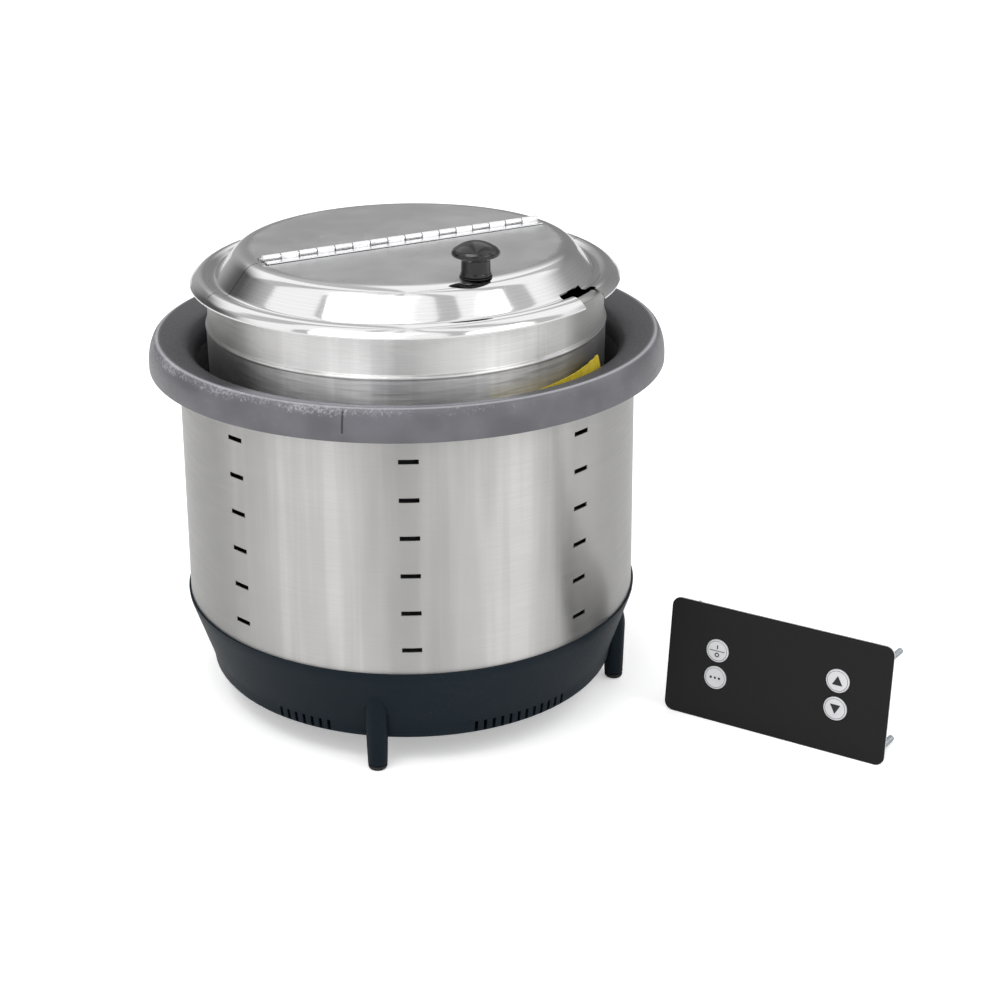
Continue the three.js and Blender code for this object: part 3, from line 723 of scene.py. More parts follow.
class KettleColours(bpy.types.PropertyGroup):
    """Colours of the kettle's finishes."""

    steel: colour_property("Brushed steel", "Outer shell", (0.56, 0.555, 0.545))
    inset: colour_property("Inset steel", "Lift-out inset", (0.92, 0.915, 0.9))
    polished: colour_property("Polished steel", "Wall and flange of the cover", (0.66, 0.66, 0.66))
    crown: colour_property("Satin crown", "Flat top of the cover", (0.63, 0.63, 0.635))
    bright: colour_property("Bright steel", "Hinge and screws", (0.86, 0.86, 0.87))
    zinc: colour_property("Zinc plate", "Studs of the panel", (0.3, 0.33, 0.345))
    aluminium: colour_property("Aluminium", "Panel plate, shield and heat sink", (0.62, 0.63, 0.65))
    navy: colour_property("Navy plastic", "Base pan and feet", (0.005, 0.0105, 0.0155))
    rim: colour_property("Rim resin", "Counter rim", (0.112, 0.112, 0.125))
    well: colour_property("Well resin", "Inside of the well", (0.07, 0.07, 0.073))
    black: colour_property("Black", "Knob, rubber and small mouldings", (0.006, 0.006, 0.0065))
    panel: colour_property("Panel film", "Face of the control panel", (0.008, 0.008, 0.0085))
    button: colour_property("Buttons", "Faces of the four buttons", (0.6, 0.6, 0.62))
    card: colour_property("Card", "Card tucked beside the inset", (0.72, 0.56, 0.04))


def length_property(name, description, millimetres):
    return FloatProperty(name=name, description=description, default=millimetres * MM, min=0.0, unit="LENGTH",
                         precision=4)


class KettleSizes(bpy.types.PropertyGroup):
    """Sizes of the details that the frame leaves open."""

    sides: IntProperty(name="Sides", description="Facets round the large turned pieces", default=240,
                       min=48, max=480)
    rim_ease: length_property("Rim rounding", "How far the rim's corners are rounded back", 2.2)
    dent_depth: length_property("Dent depth", "Depth of the dent low on the shell's right side", 1.5)
    thread_pitch: length_property("Thread pitch", "Pitch of the panel studs' thread", 0.7)
    thread_depth: length_property("Thread depth", "Depth of the panel studs' thread", 0.22)
    panel_ease: length_property("Panel edge", "Rounding of the panel plate's edges", 0.25)
    card_wave: length_property("Card wave", "How far the card bends out and in along its length", 0.8)


# ---- the pieces -------------------------------------------------------------
class KettleOperator:
    """What the operators share: each makes its pieces from the sizes."""

    bl_options = {"REGISTER", "UNDO"}

    def execute(self, context):
        self.make(context.scene.kettle_sizes)
        return {"FINISHED"}


class KETTLE_OT_rim(KettleOperator, bpy.types.Operator):
    """Makes the counter rim and the gasket under it"""

    bl_idname = "kettle.rim"
    bl_label = "Rim"

    def make(self, sizes):
        """Closed outlines carried round the axis. The crest is a round nose outside a flat."""
        ease = sizes.rim_ease / MM
        outline = outline_of(
            [141.2, 213.4], [151.1, 213.4], [151.1, 221.3], [152.9, 221.3], [152.9, 213.4], [156, 213.4],
            [156, 228], [164.5, 228], [168, 213.4], [172.1, 213.4], [172.1, 219.5], [171.2, 226],
            [168.4, 232.6], [164.6, 233.8], [150, 229.5], [146, 227.2], [141.8, 221],
        )
        cuts = [0.5] * 8 + [0.6, 0.9, ease, 3.2, 2.6, 1.6, 2.2, 2.4, 4]
        skin = turned(eased(outline, cuts, 7), sizes.sides)
        piece("rim", [skin], [finish("rim resin")], "kettle", ["rim_ring"])
        gasket = eased([[156.4, 212.6], [167, 212.6], [167, 216.8], [156.4, 216.8]], 0.8)
        piece("rim_seal", [turned(gasket, sizes.sides)], [finish("rubber")], "kettle",
              ["rim_gasket"])


class KETTLE_OT_shell(KettleOperator, bpy.types.Operator):
    """Makes the slotted outer shell"""

    bl_idname = "kettle.shell"
    bl_label = "Outer shell"

    def make(self, sizes):
        """A tube of azimuth and height with 48 punched slots. The radius drops by the dent's
        depth times two bell curves, one across and one up."""
        columns, rows, first, spacing, width, height = 8, 6, 69.4, 24.96, 12.5, 3.0
        half = math.degrees(math.asin(width / 2 / SHELL_RADIUS))
        share = np.concatenate([np.linspace(-half, half, 5)[:-1], np.linspace(half, 45 - half, 27)[:-1]])
        azimuth = (np.arange(columns)[:, None] * 45 + share).ravel()
        middle = first + spacing * np.arange(rows)
        slot_edges = [[m - height / 2, m + height / 2] for m in middle]
        marks = np.concatenate([[SHELL_BOTTOM], *slot_edges, [SHELL_TOP]])
        z = np.unique(np.concatenate([np.linspace(a, b, max(2, int((b - a) / 3.2) + 1))
                                      for a, b in zip(marks, marks[1:])]))
        grid = turned_grid(np.column_stack([np.full(len(z), SHELL_RADIUS), z]), azimuth)
        a, h = azimuth[:, None], z[None, :]
        across = np.exp(-(((a - 49 + (h - 100) * 0.05) / 7.5) ** 2))
        up = np.exp(-(((h - 88) / 36) ** 2))
        crease = 0.35 * np.exp(-(((a - 62 + (h - 90) * 0.08) / 3.0) ** 2) - ((h - 92) / 30) ** 2)
        drop = sizes.dent_depth / MM * across * up - crease
        scale = 1 - drop / SHELL_RADIUS
        outer = grid * np.stack([scale, scale, np.ones_like(scale)], -1)
        lessen = (SHELL_RADIUS - 0.8) / SHELL_RADIUS
        inner = outer * (lessen, lessen, 1)
        in_column = np.tile(np.arange(len(share)) < 4, columns)[:, None]
        centre = (z[:-1] + z[1:]) / 2
        in_row = (np.abs(centre[:, None] - middle).min(1) < height / 2)[None, :]
        cells = quads(*grid.shape[:2], loop_rows=True, keep=~(in_column & in_row))
        part = walled(outer.reshape(-1, 3), inner.reshape(-1, 3), cells)
        piece("shell", [part], [finish("shell steel")], "kettle", ["outer_shell"])


class KETTLE_OT_base(KettleOperator, bpy.types.Operator):
    """Makes the vented base pan with its feet and their tips"""

    bl_idname = "kettle.base"
    bl_label = "Base pan and feet"

    def make(self, sizes):
        """The wall is a tube of azimuth and height with vents left out. The underside, the lip,
        the feet and the bosses are closed shapes that run into it."""
        groups, pitch, half = [(-30.5, 7), (30.5, 12), (-149.5, 7)], 2.5, 0.455
        middles = np.concatenate([m + (np.arange(k) - (k - 1) / 2) * pitch for m, k in groups])
        coarse = np.arange(-180, 180, 1.5)
        coarse = coarse[np.abs(coarse[:, None] - middles).min(1) > 0.75]
        azimuth = np.unique(np.concatenate([coarse, middles - half, middles + half]))
        outer_line = outline_of([132, 0], [137.4, 0.7], [138.35, 2], [138.55, 3.4], [139.5, 9],
                                [140.7, 13], [153.6, 50.5], [153.9, 53])
        outer_line = resampled(outer_line, 6.0)
        inner_line = outer_line - [[3.0, 0.0]] * len(outer_line)
        inner_line[:, 1] = np.maximum(inner_line[:, 1], 2.6)
        grid, inside = (turned_grid(line, azimuth) for line in (outer_line, inner_line))
        between = (np.append(azimuth[1:], azimuth[0] + FULL_TURN) + azimuth) / 2
        in_vent = (np.abs(between[:, None] - middles).min(1) < half)[:, None]
        centre = (outer_line[:-1, 1] + outer_line[1:, 1]) / 2
        in_height = ((centre > 0.5) & (centre < 9))[None]
        cells = quads(*grid.shape[:2], loop_rows=True, keep=~(in_vent & in_height))
        parts = [walled(grid.reshape(-1, 3), inside.reshape(-1, 3), cells)]
        slots = [rounded_box(44, 3, 1.4, -62, -42 + (i - 2.5) * 7.4, 5)[::-1] for i in range(6)]
        parts.append(slab([circle(134.5, sides=144), *slots], 0, 3, 0.3))
        lip = eased([[148, 46.6], [153.1, 49], [153.1, 52.9], [148.6, 52.9]], 0.4)
        parts.append(turned(lip, sizes.sides))
        crest = arc(0, 0, 1, 0, 90, 14) * [7.5, 17] + [0, 20.5]
        foot = turned(outline_of([0, -15.7], [5.7, -15.7], [6.3, -15.1], crest), 48, closed=False)
        parts += [moved(foot, spin(turn) @ shift(0, -FOOT_RING, 0)) for turn in FOOT_TURNS]
        for _, _, turn, (radius, bore), _ in GLANDS:
            boss = turned(eased([[bore, 139], [radius, 139], [radius, 152], [bore, 152]], 0.6), 48)
            parts.append(moved(boss, spin(turn) @ shift(0, 0, GLAND_HEIGHT) @ spin(90, "X")))
        board_x, board_y = BOARD_MIDDLE
        post_x, post_y = BOARD_POSTS
        for i in range(4):
            pillar = turned(eased([[1.9, 2], [5, 2], [5, 33.2], [1.9, 33.2]], 0.4), 24)
            parts.append(moved(pillar, spin(45 + 90 * i) @ shift(0, -SHIELD_POST_RING, 0)))
            low = turned(eased([[0, 2], [3.5, 2], [3.5, 8.7], [0, 8.7]], 0.3, closed=False), 20, closed=False)
            x, y = board_x + (post_x if i % 2 else -post_x), board_y + (post_y if i < 2 else -post_y)
            parts.append(moved(low, shift(x, y, 0)))
        piece("base", parts, [finish("navy plastic")], "kettle", ["base_pan"])
        tip = eased([[0, FLOOR], [5, FLOOR], [6.1, FLOOR + 1.2], [6.2, FLOOR + 3], [0, FLOOR + 3]],
                    0.6, closed=False)
        for i, turn in enumerate(FOOT_TURNS):
            place = spin(turn) @ shift(0, -FOOT_RING, 0)
            piece(f"foot_pad_{i + 1}", [moved(turned(tip, 40, closed=False), place)], [finish("rubber")],
                  "kettle", [f"foot_tip_{i + 1}"])


class KETTLE_OT_well(KettleOperator, bpy.types.Operator):
    """Makes the well liner"""

    bl_idname = "kettle.well"
    bl_label = "Well liner"

    def make(self, sizes):
        """One outline from the axis, up the outside, over the flange and down the inside."""
        outline = outline_of(
            [0, 51.5], arc(131.2, 63.5, 12, -90, 0, 12), [143.2, 210.5], [150.4, 210.5], [150.4, 213.1],
            [141.2, 213.1], arc(131.2, 64, 10, 0, -90, 12), [0, 54],
        )
        skin = turned(eased(outline, 0.5, 3, closed=False), sizes.sides, closed=False)
        piece("well", [skin], [finish("well resin")], "kettle", ["well_liner"])


class KETTLE_OT_inset(KettleOperator, bpy.types.Operator):
    """Makes the stainless inset with its step and rolled bead"""

    bl_idname = "kettle.inset"
    bl_label = "Inset"

    def make(self, sizes):
        """One outline from the axis, up the tapered wall, over the ledge and the band, round the
        rolled bead and down the inside one sheet away."""
        foot = outline_of(arc(113.4, 71.3, 16, -88, -3, 14))
        inner_foot = outline_of(arc(113.4, 71.3, 15, -3, -88, 14))
        outline = outline_of(
            [0, 54.3], [104, 54.3], [108, 55.3], foot, [133.0, 238.6], [133.6, 239.9], [133.3, 241.0],
            [131.8, 241.9], [131.8, 266], arc(134.8, 270.4, 2.7, -120, 130, 18), [131.0, 268.6],
            [130.8, 266.0], [130.8, 241.5], [132.0, 239.0], inner_foot, [108, 56.3], [104, 55.3], [0, 55.3],
        )
        skin = turned(eased(outline, 0.35, 3, closed=False), sizes.sides, closed=False)
        piece("inset_vessel", [skin], [finish("inset steel")], "inset", ["inset_pan"])


COVER_TOP = outline_of(
    [142.5, 268.9], [140.8, 271.2], [137, 274.2], [134, 275], [131.5, 274.3], [128.4, 271.9], [125.6, 271.9],
    [113.4, 286.6], [109.6, 289.4], [104, 290.5], [0, 290.5],
)


def cover_profile():
    """The cover's top line with its bends eased, from the edge to the middle, and a point at
    every few millimetres and at the notch's inner end."""
    line = eased(COVER_TOP, [1, 1.5, 2, 1.5, 1.2, 1.2, 1.6, 2.2, 2.4, 3, 1], 6, closed=False)
    line = line[np.concatenate([[True], np.linalg.norm(np.diff(line, axis=0), axis=1) > 1e-6])]
    steps = np.unique(np.concatenate([line[:, 0], np.arange(4, 104, 8.0), [NOTCH_START]]))[::-1]
    return np.column_stack([steps, np.interp(steps, line[::-1, 0], line[::-1, 1])])


class KETTLE_OT_cover(KettleOperator, bpy.types.Operator):
    """Makes the two halves of the cover"""

    bl_idname = "kettle.cover"
    bl_label = "Cover"

    def make(self, sizes):
        """Each half is the cover's line carried over half a turn, from one side of the hinge to
        the other, at the gap's distance from it. The flap leaves out the ladle notch."""
        line = cover_profile()
        reach = np.maximum(line[:, 0], GAP)
        start = np.degrees(np.arcsin(GAP / reach))

        def half(azimuths, keep=None):
            a = np.radians(azimuths)
            x, y = reach * np.sin(a), -reach * np.cos(a)
            z = line[:, 1] + 0 * a
            outer = np.stack([x, y, z], -1)
            cells = quads(*outer.shape[:2], keep=keep)
            flat = outer.reshape(-1, 3)
            return moved(walled(flat, flat - [0, 0, SHEET], cells), COVER_PLACE)

        share = np.linspace(0, 1, sizes.sides // 2 + 1)[:, None]
        rear = half(90 + start + share * (180 - 2 * start))
        piece("cover_back_half", [rear], [finish("cover steel")], "cover", ["cover_rear"])
        middle = NOTCH_MIDDLE
        edge = np.degrees(np.arcsin(NOTCH_HALF_WIDTH / np.maximum(reach, NOTCH_START)))
        left = -90 + start + np.linspace(0, 1, 91)[:, None] * (middle - edge + 90 - start)
        gap = middle - edge + np.linspace(0, 1, 13)[1:-1, None] * 2 * edge
        right = middle + edge + np.linspace(0, 1, 40)[:, None] * (90 - start - middle - edge)
        azimuths = np.concatenate([left, gap, right])
        between = np.arange(len(azimuths) - 1)[:, None]
        outside = ((line[:-1, 0] + line[1:, 0]) / 2 > NOTCH_START)[None]
        flap = half(azimuths, ~((between >= 90) & (between < 102) & outside))
        piece("cover_front_flap", [flap], [finish("cover steel")], "flap", ["cover_flap"])


class KETTLE_OT_hinge(KettleOperator, bpy.types.Operator):
    """Makes the piano hinge: two leaves with their knuckles, and the pin"""

    bl_idname = "kettle.hinge"
    bl_label = "Hinge"

    def make(self, sizes):
        """Tubes and bars along X, with every second knuckle on each leaf."""
        count, length, radius, bore = 16, 12.7, 2.0, 1.2
        bottom = HINGE_HEIGHT - radius
        start = -count * length / 2
        place = COVER_PLACE
        for side, name, body, node in [(1, "hinge_back_leaf", "cover", "hinge_leaf_rear"),
                                       (-1, "hinge_front_leaf", "flap", "hinge_leaf_flap")]:
            blade = slab([rounded_box(count * length, 6, 1.2, 0, side * 6.2)], bottom, bottom + 0.8, 0.15)
            parts = [moved(blade, place)]
            for i in range(count):
                if (i % 2 == 0) != (side > 0):
                    continue
                middle = start + (i + 0.5) * length
                low, high = -length / 2 + 0.25, length / 2 - 0.25
                ring = eased([[bore, low], [radius, low], [radius, high], [bore, high]], 0.35, 4)
                tube = moved(turned(ring, 24), place @ shift(middle, 0, HINGE_HEIGHT) @ ALONG_X)
                web = slab([rounded_box(length - 0.6, 2.6, 0.3, middle, side * 2.4, 3)], bottom, bottom + 0.8,
                           0.1)
                parts += [tube, moved(web, place)]
            piece(name, parts, [finish("bright steel")], body, [node])
        half = count * length / 2 + 0.5
        pin = eased([[0, -half], [0.9, -half], [0.9, half], [0, half]], 0.3, closed=False)
        rod = moved(turned(pin, 24, closed=False), place @ shift(0, 0, HINGE_HEIGHT) @ ALONG_X)
        piece("hinge_rod", [rod], [finish("bright steel")], "cover", ["hinge_pin"])


class KETTLE_OT_knob(KettleOperator, bpy.types.Operator):
    """Makes the knob and its washer"""

    bl_idname = "kettle.knob"
    bl_label = "Knob"

    def make(self, sizes):
        """Closed outlines carried round the knob's own axis: a waisted stem, an undercut and a
        low domed cap."""
        seat = CROWN_TOP + 1.1
        across = np.linspace(13.8, 0.02, 22)
        dome = np.column_stack([across, 16.6 + 5.4 * (1 - (across / 14.3) ** 2)])
        outline = outline_of(
            [2.4, 0], [9.6, 0], [9.7, 1.6], [9.2, 2.4], [9.0, 10.0], [9.8, 11.8], [11.5, 12.4],
            arc(13.1, 14.6, 2.1, -70, 55, 10), dome, [0.02, 10], [2.4, 10],
        ) + [[0, seat]]
        place = COVER_PLACE @ shift(0, -KNOB_FROM_AXIS, 0)
        skin = moved(turned(eased(outline, 0.6, 5), 64), place)
        piece("knob_grip", [skin], [finish("knob black")], "flap", ["knob"])
        ring = eased([[2.6, 290.8], [10.2, 290.8], [10.2, 291.3], [2.6, 291.3]], 0.15)
        piece("knob_seal", [moved(turned(ring, 64), place)], [finish("rubber")], "flap",
              ["knob_washer"])


class KETTLE_OT_card(KettleOperator, bpy.types.Operator):
    """Makes the yellow card tucked between the inset and the rim"""

    bl_idname = "kettle.card"
    bl_label = "Card"

    def make(self, sizes):
        """A sheet of azimuth and height that follows the well's wall, with a slow wave, a top
        edge that climbs to the right and an end corner that folds in."""
        azimuth = np.linspace(24, 63, 79)[:, None]
        share = (azimuth - 24) / 39
        rise = np.linspace(0, 1, 25)[None, :]
        top = 223 + 7.5 * share**1.4 - 14 * np.clip(share - 0.93, 0, 1)
        z = 191 + (top - 191) * rise
        wave = np.sin(share * 9.0) * rise * sizes.card_wave / MM
        crumple = 1 + np.sin(share * 60) * 0.25
        fold = 25.6 * np.clip(rise - 0.8, 0, 1) * np.clip(share - 0.62, 0, 1) * crumple
        radius = 139.0 + 0.5 * wave - fold
        a = np.radians(azimuth + 0 * rise)
        outer = np.stack([radius * np.sin(a), -radius * np.cos(a), z], -1)
        thin = (radius - 0.4) / radius
        inner = outer * np.stack([thin, thin, np.ones_like(thin)], -1)
        part = walled(outer.reshape(-1, 3), inner.reshape(-1, 3), quads(*outer.shape[:2]))
        piece("tucked_card", [part], [finish("card")], "kettle", ["blank_card"], math.radians(70))


class KETTLE_OT_panel(KettleOperator, bpy.types.Operator):
    """Makes the control panel's plate, film, housing and grommet"""

    bl_idname = "kettle.panel"
    bl_label = "Control panel"

    def make(self, sizes):
        """Rounded plates with four round holes, a hollow box behind and a turned grommet."""
        width, height = PANEL_SIZE
        middle = height / 2
        edge = rounded_box(width, height, 6, 0, middle, 12)
        holes = [circle(8.1, x, y, 56, clockwise=True) for x, y, _ in BUTTONS.values()]
        plate = slab([edge, *holes], 0, 1.2, sizes.panel_ease / MM)
        piece("panel_back_plate", [moved(plate, PANEL_MATRIX)], [finish("aluminium")], "panel",
              ["panel_plate"])
        holes = [circle(7.95, x, y, 56, clockwise=True) for x, y, _ in BUTTONS.values()]
        film = slab([edge, *holes], 1.35, 2.0, 0.18)
        piece("panel_film", [moved(film, PANEL_MATRIX)], [finish("panel black")], "panel",
              ["panel_overlay"])
        wall = slab([rounded_box(116, 56, 2.5, 0, middle), rounded_box(112, 52, 1.2, 0, middle)[::-1]],
                    -14.3, -0.3, 0.3)
        back = slab([rounded_box(115, 55, 2.2, 0, middle), circle(5, 0, middle, 40, clockwise=True)],
                    -14.3, -12.3, 0.3)
        piece("panel_box", [moved(wall, PANEL_MATRIX), moved(back, PANEL_MATRIX)], [finish("black plastic")],
              "panel", ["panel_housing"])
        ring = eased([[2.6, -17.5], [4.2, -17.5], [6.8, -14.6], [4.7, -14.6], [4.7, -12], [6.4, -12],
                      [6.4, -11.2], [2.6, -11.2]], 0.4)
        piece("panel_grommet", [moved(turned(ring, 40), PANEL_MATRIX @ shift(0, middle, 0))],
              [finish("rubber")], "panel", ["panel_cord_grommet"])


def icon_shapes(name):
    """Loops for a button's plain sign: a bar over a ring for the power, three dots for the
    function, and a triangle that points up or down."""
    if name == "button_power":
        return [[rounded_box(10.4, 0.5, 0.2, 0, 0, 3)], [rounded_box(0.8, 2.7, 0.3, 0, 2.6, 3)],
                [circle(1.6, 0, -2.7, 32), circle(0.85, 0, -2.7, 32, clockwise=True)]]
    if name == "button_function":
        return [[circle(0.85, x, 0, 24)] for x in (-2.9, 0.0, 2.9)]
    point = 3.5 if name == "button_up" else -3.5
    corners = np.array([[-3.5, -point * 0.8], [3.5, -point * 0.8], [0, point]])
    return [[eased(corners if point > 0 else corners[::-1], 0.25, 3)]]


class KETTLE_OT_buttons(KettleOperator, bpy.types.Operator):
    """Makes the four buttons with their rings and plain signs"""

    bl_idname = "kettle.buttons"
    bl_label = "Buttons"

    def make(self, sizes):
        """A turned disc with a lip behind the panel, and printed shapes just proud of it."""
        body = eased([[0, -1.8], [8.9, -1.8], [8.9, -0.4], [7.7, -0.4], [7.7, 2.2], [7.35, 2.5], [0, 2.5]],
                     0.15, closed=False)
        for name, (x, y, ride) in BUTTONS.items():
            place = PANEL_MATRIX @ shift(x, y, 0)
            line = [circle(6.75, sides=64), circle(6.5, sides=64, clockwise=True)]
            prints = [(*slab(loops, 2.4, 2.56, 0.03), 1) for loops in [line, *icon_shapes(name)]]
            shapes = [moved(part, place) for part in prints]
            piece(f"{name}_cap", [moved(turned(body, 56, closed=False), place), *shapes],
                  [finish("button grey"), finish("icon ink")], ride, [name])


class KETTLE_OT_studs(KettleOperator, bpy.types.Operator):
    """Makes the panel's four threaded studs"""

    bl_idname = "kettle.studs"
    bl_label = "Panel studs"

    def make(self, sizes):
        """A rod of height and turn whose radius is lowered by a cosine of turn less height over
        pitch, which is a thread. It fades out at both ends."""
        pitch, depth = sizes.thread_pitch / MM, sizes.thread_depth / MM
        low, high = -32.3, -0.3
        z = np.linspace(low, high, 230)[None, :]
        turn = np.arange(24)[:, None] * 2 * math.pi / 24
        fade = np.clip(np.minimum(z - low, high - z) / 1.2, 0, 1)
        radius = STUD_RADIUS - depth / 2 * fade * (1 + np.cos(turn - 2 * math.pi * z / pitch))
        radius = radius - 0.35 * np.clip(1 - (z - low) / 0.6, 0, 1)
        radius = np.concatenate([0 * turn, radius, 0 * turn], 1)
        z = np.concatenate([[[low]], z, [[high]]], 1) + 0 * turn
        grid = np.stack([radius * np.sin(turn), -radius * np.cos(turn), z], -1)
        rod = grid.reshape(-1, 3), quads(*grid.shape[:2], loop_rows=True)
        for i, (x, y) in enumerate(STUD_PLACES):
            piece(f"stud_{i + 1}", [moved(rod, PANEL_MATRIX @ shift(x, y, 0))], [finish("zinc")],
                  "panel", [f"panel_stud_{i + 1}"])


class KETTLE_OT_glands(KettleOperator, bpy.types.Operator):
    """Makes the two cord glands at the back of the base"""

    bl_idname = "kettle.glands"
    bl_label = "Cord glands"

    def make(self, sizes):
        """A six-sided nut and a turned dome with a bore, laid on the back of the base."""
        for name, node, turn, _, (radius, bore) in GLANDS:
            flats = eased(circle(radius * 0.98, sides=6), 0.5, 4)
            nut = slab([flats, circle(bore, sides=32, clockwise=True)], 152.3, 159.3, 0.4)
            dome = turned(eased([[bore, 157.5], [radius * 0.8, 157.5], [radius * 0.8, 164.3],
                                 [radius * 0.55, 170.3], [bore, 170.3]], 0.9), 48)
            place = spin(turn) @ shift(0, 0, GLAND_HEIGHT) @ spin(90, "X")
            piece(name, [moved(nut, place), moved(dome, place)], [finish("black plastic")], "kettle",
                  [node])


INSIDE = {
    "bright steel": ["rim_screw_", "shield_screw_", "knob_screw"],
    "aluminium": ["coil_shield", "temperature_sensor", "heat_sink"],
    "ferrite": ["ferrite_bar_"],
    "black plastic": ["coil_carrier", "fan_frame", "fan_impeller"],
    "copper": ["induction_coil", "filter_choke"],
    "board": ["power_board", "control_board"],
    "button grey": ["filter_capacitor"],
    "navy plastic": ["terminal_block"],
}


class KETTLE_OT_inside(KettleOperator, bpy.types.Operator):
    """Gives the parts inside, which keep their own shapes, their finishes"""

    bl_idname = "kettle.inside"
    bl_label = "Parts inside"

    def make(self, sizes):
        for name, starts in INSIDE.items():
            for node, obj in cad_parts.items():
                if node.startswith(tuple(starts)):
                    obj.data.materials.clear()
                    obj.data.materials.append(finish(name))


# ---- floor, light and camera ------------------------------------------------
def studio_world():
    """A soft room: a ring of pale screens with gaps between them round the horizon, a bright
    ceiling with seven greyer gaps, and plain white for what is seen past the floor."""
    world = bpy.data.worlds.new("Studio")
    bpy.context.scene.world = world
    world.use_nodes = True
    tree = world.node_tree
    tree.nodes.clear()
    n = Nodes(tree)
    way = n.add("ShaderNodeTexCoord").outputs["Generated"]
    x, y, z = n.add("ShaderNodeSeparateXYZ", {0: way}).outputs
    turn = n.math("ARCTAN2", x, n.math("MULTIPLY", y, -1.0))
    around = n.math("ADD", n.math("DIVIDE", turn, 2 * math.pi), 0.5)
    ramp = n.add("ShaderNodeValToRGB", {"Fac": around})
    ramp.color_ramp.interpolation = "EASE"
    ramp.color_ramp.elements[0].position = SCREENS[0][0]
    ramp.color_ramp.elements[0].color = (*[SCREENS[0][1]] * 3, 1)
    ramp.color_ramp.elements[1].position = SCREENS[-1][0]
    ramp.color_ramp.elements[1].color = (*[SCREENS[-1][1]] * 3, 1)
    for position, value in SCREENS[1:-1]:
        ramp.color_ramp.elements.new(position).color = (value, value, value, 1)
    ceiling = n.span(z, 0.34, 0.6)
    wave = n.math("SINE", n.math("MULTIPLY", turn, CEILING_GAPS))
    top = n.mix(n.span(wave, -0.55, -0.3), (0.72, 0.72, 0.72, 1), (1.35, 1.35, 1.35, 1))
    room = n.mix(ceiling, ramp.outputs["Color"], top)
    seen = n.add("ShaderNodeLightPath").outputs["Is Camera Ray"]
    colour = n.mix(seen, room, (1, 1, 1, 1))
    sky = n.add("ShaderNodeBackground", {"Color": colour, "Strength": 1.0})
    sink = n.add("ShaderNodeOutputWorld")
    tree.links.new(sky.outputs[0], sink.inputs[0])


def studio_floor():
    """One wide pale sheet at the height of the feet."""
    mesh = bpy.data.meshes.new("floor")
    reach = 9.0
    corners = [(-reach, -reach, 0), (reach, -reach, 0), (reach, reach, 0), (-reach, reach, 0)]
    mesh.from_pydata([(x, y, FLOOR * MM) for x, y, _ in corners], [], [(0, 1, 2, 3)])
    material, n, shader, place = start_finish("Pale floor", 0.9, Specular_IOR_Level=0.1,
                                              Emission_Color=(1, 1, 1, 1))
    seen = n.add("ShaderNodeLightPath").outputs["Is Camera Ray"]
    n.feed(shader["Emission Strength"], n.math("MULTIPLY", seen, 0.35))
    mottle = n.noise(place, 3.0, 2.0)
    n.feed(shader["Base Color"], n.mix(mottle, (0.9, 0.9, 0.9, 1), (0.93, 0.93, 0.93, 1)))
    mesh.materials.append(material)
    floor = bpy.data.objects.new("floor", mesh)
    bpy.context.scene.collection.objects.link(floor)


def soft_box(name, azimuth, height, distance, size, power):
    """A square lamp at an azimuth, aimed at the middle of the kettle."""
    lamp = bpy.data.lights.new(name, "AREA")
    lamp.shape, lamp.size, lamp.size_y, lamp.energy = "RECTANGLE", size[0], size[1], power
    obj = bpy.data.objects.new(name, lamp)
    a, e = math.radians(azimuth), math.radians(height)
    place = Vector((math.sin(a) * math.cos(e), -math.cos(a) * math.cos(e), math.sin(e))) * distance
    obj.location = place + Vector((0, 0, 0.15))
    obj.rotation_euler = (-place).to_track_quat("-Z", "Y").to_euler()
    bpy.context.scene.collection.objects.link(obj)


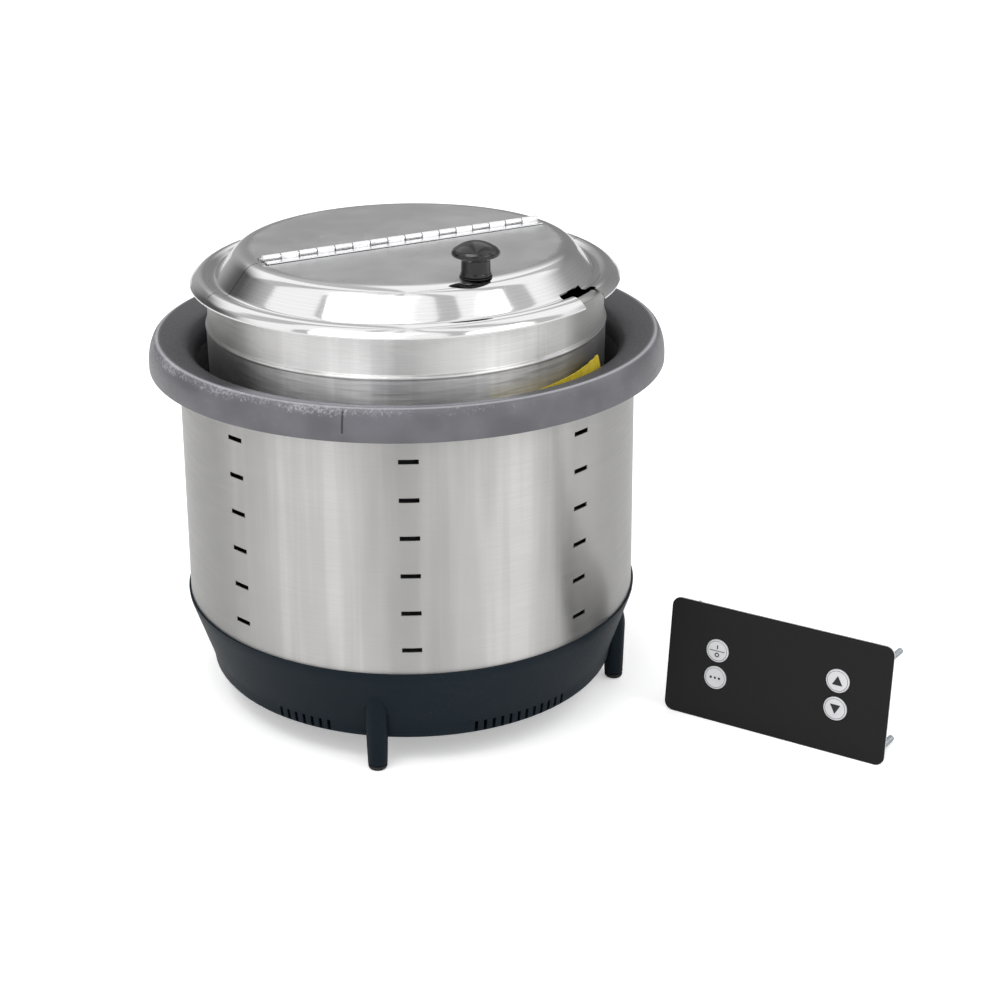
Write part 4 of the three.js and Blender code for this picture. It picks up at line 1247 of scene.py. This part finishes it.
def studio_camera():
    """The lens stands a little over a metre in front, looks down, and is shifted so that the
    whole object is in the frame."""
    place = Vector((0.00094, -1.20768, 0.61349))
    heading, down, roll = math.radians(-0.4346), math.radians(16.754), math.radians(-1.2715)
    ahead = Vector((math.sin(heading), math.cos(heading), 0))
    forward = ahead * math.cos(down) - Vector((0, 0, math.sin(down)))
    right = Vector((math.cos(heading), -math.sin(heading), 0))
    up = right.cross(forward)
    side = right * math.cos(roll) + up * math.sin(roll)
    over = up * math.cos(roll) - right * math.sin(roll)
    turn = Matrix((side, over, -forward)).transposed().to_4x4()
    data = bpy.data.cameras.new("camera")
    data.sensor_width, data.lens = 36.0, 67.996
    data.shift_x, data.shift_y = 0.107, -0.2
    data.clip_start, data.clip_end = 0.05, 60.0
    obj = bpy.data.objects.new("camera", data)
    obj.matrix_world = Matrix.Translation(place) @ turn
    bpy.context.scene.collection.objects.link(obj)
    bpy.context.scene.camera = obj


class KETTLE_OT_stage(bpy.types.Operator):
    """Makes the floor, the soft light and the camera"""

    bl_idname = "kettle.stage"
    bl_label = "Floor, light and camera"

    def execute(self, context):
        studio_world()
        studio_floor()
        soft_box("key lamp", -35, 62, 2.2, (1.4, 1.0), 15)
        soft_box("fill lamp", 60, 40, 2.4, (1.2, 1.2), 6)
        studio_camera()
        context.scene.view_settings.view_transform = "Standard"
        return {"FINISHED"}


STEPS = (
    KETTLE_OT_stage, KETTLE_OT_rim, KETTLE_OT_shell, KETTLE_OT_base, KETTLE_OT_well, KETTLE_OT_inset,
    KETTLE_OT_cover, KETTLE_OT_hinge, KETTLE_OT_knob, KETTLE_OT_card, KETTLE_OT_panel, KETTLE_OT_buttons,
    KETTLE_OT_studs, KETTLE_OT_glands, KETTLE_OT_inside,
)


class KETTLE_PT_panel(bpy.types.Panel):
    """Lists the steps that build the kettle and its settings"""

    bl_label = "Soup kettle"
    bl_idname = "KETTLE_PT_panel"
    bl_space_type = "VIEW_3D"
    bl_region_type = "UI"
    bl_category = "Soup kettle"

    def draw(self, context):
        layout = self.layout
        for group in (context.scene.kettle_sizes, context.scene.kettle_colours):
            box = layout.box()
            for name in group.bl_rna.properties.keys():
                if name not in {"rna_type", "name"}:
                    box.prop(group, name)
        for step in STEPS:
            layout.operator(step.bl_idname)


CLASSES = (KettleColours, KettleSizes, *STEPS, KETTLE_PT_panel)


def register():
    for cls in CLASSES:
        bpy.utils.register_class(cls)
    bpy.types.Scene.kettle_colours = PointerProperty(type=KettleColours)
    bpy.types.Scene.kettle_sizes = PointerProperty(type=KettleSizes)


def unregister():
    del bpy.types.Scene.kettle_sizes
    del bpy.types.Scene.kettle_colours
    for cls in reversed(CLASSES):
        bpy.utils.unregister_class(cls)


def main():
    """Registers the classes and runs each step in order."""
    register()
    for step in STEPS:
        group, name = step.bl_idname.split(".")
        getattr(getattr(bpy.ops, group), name)()
    bpy.context.view_layer.update()


if __name__ == "__main__":
    main()
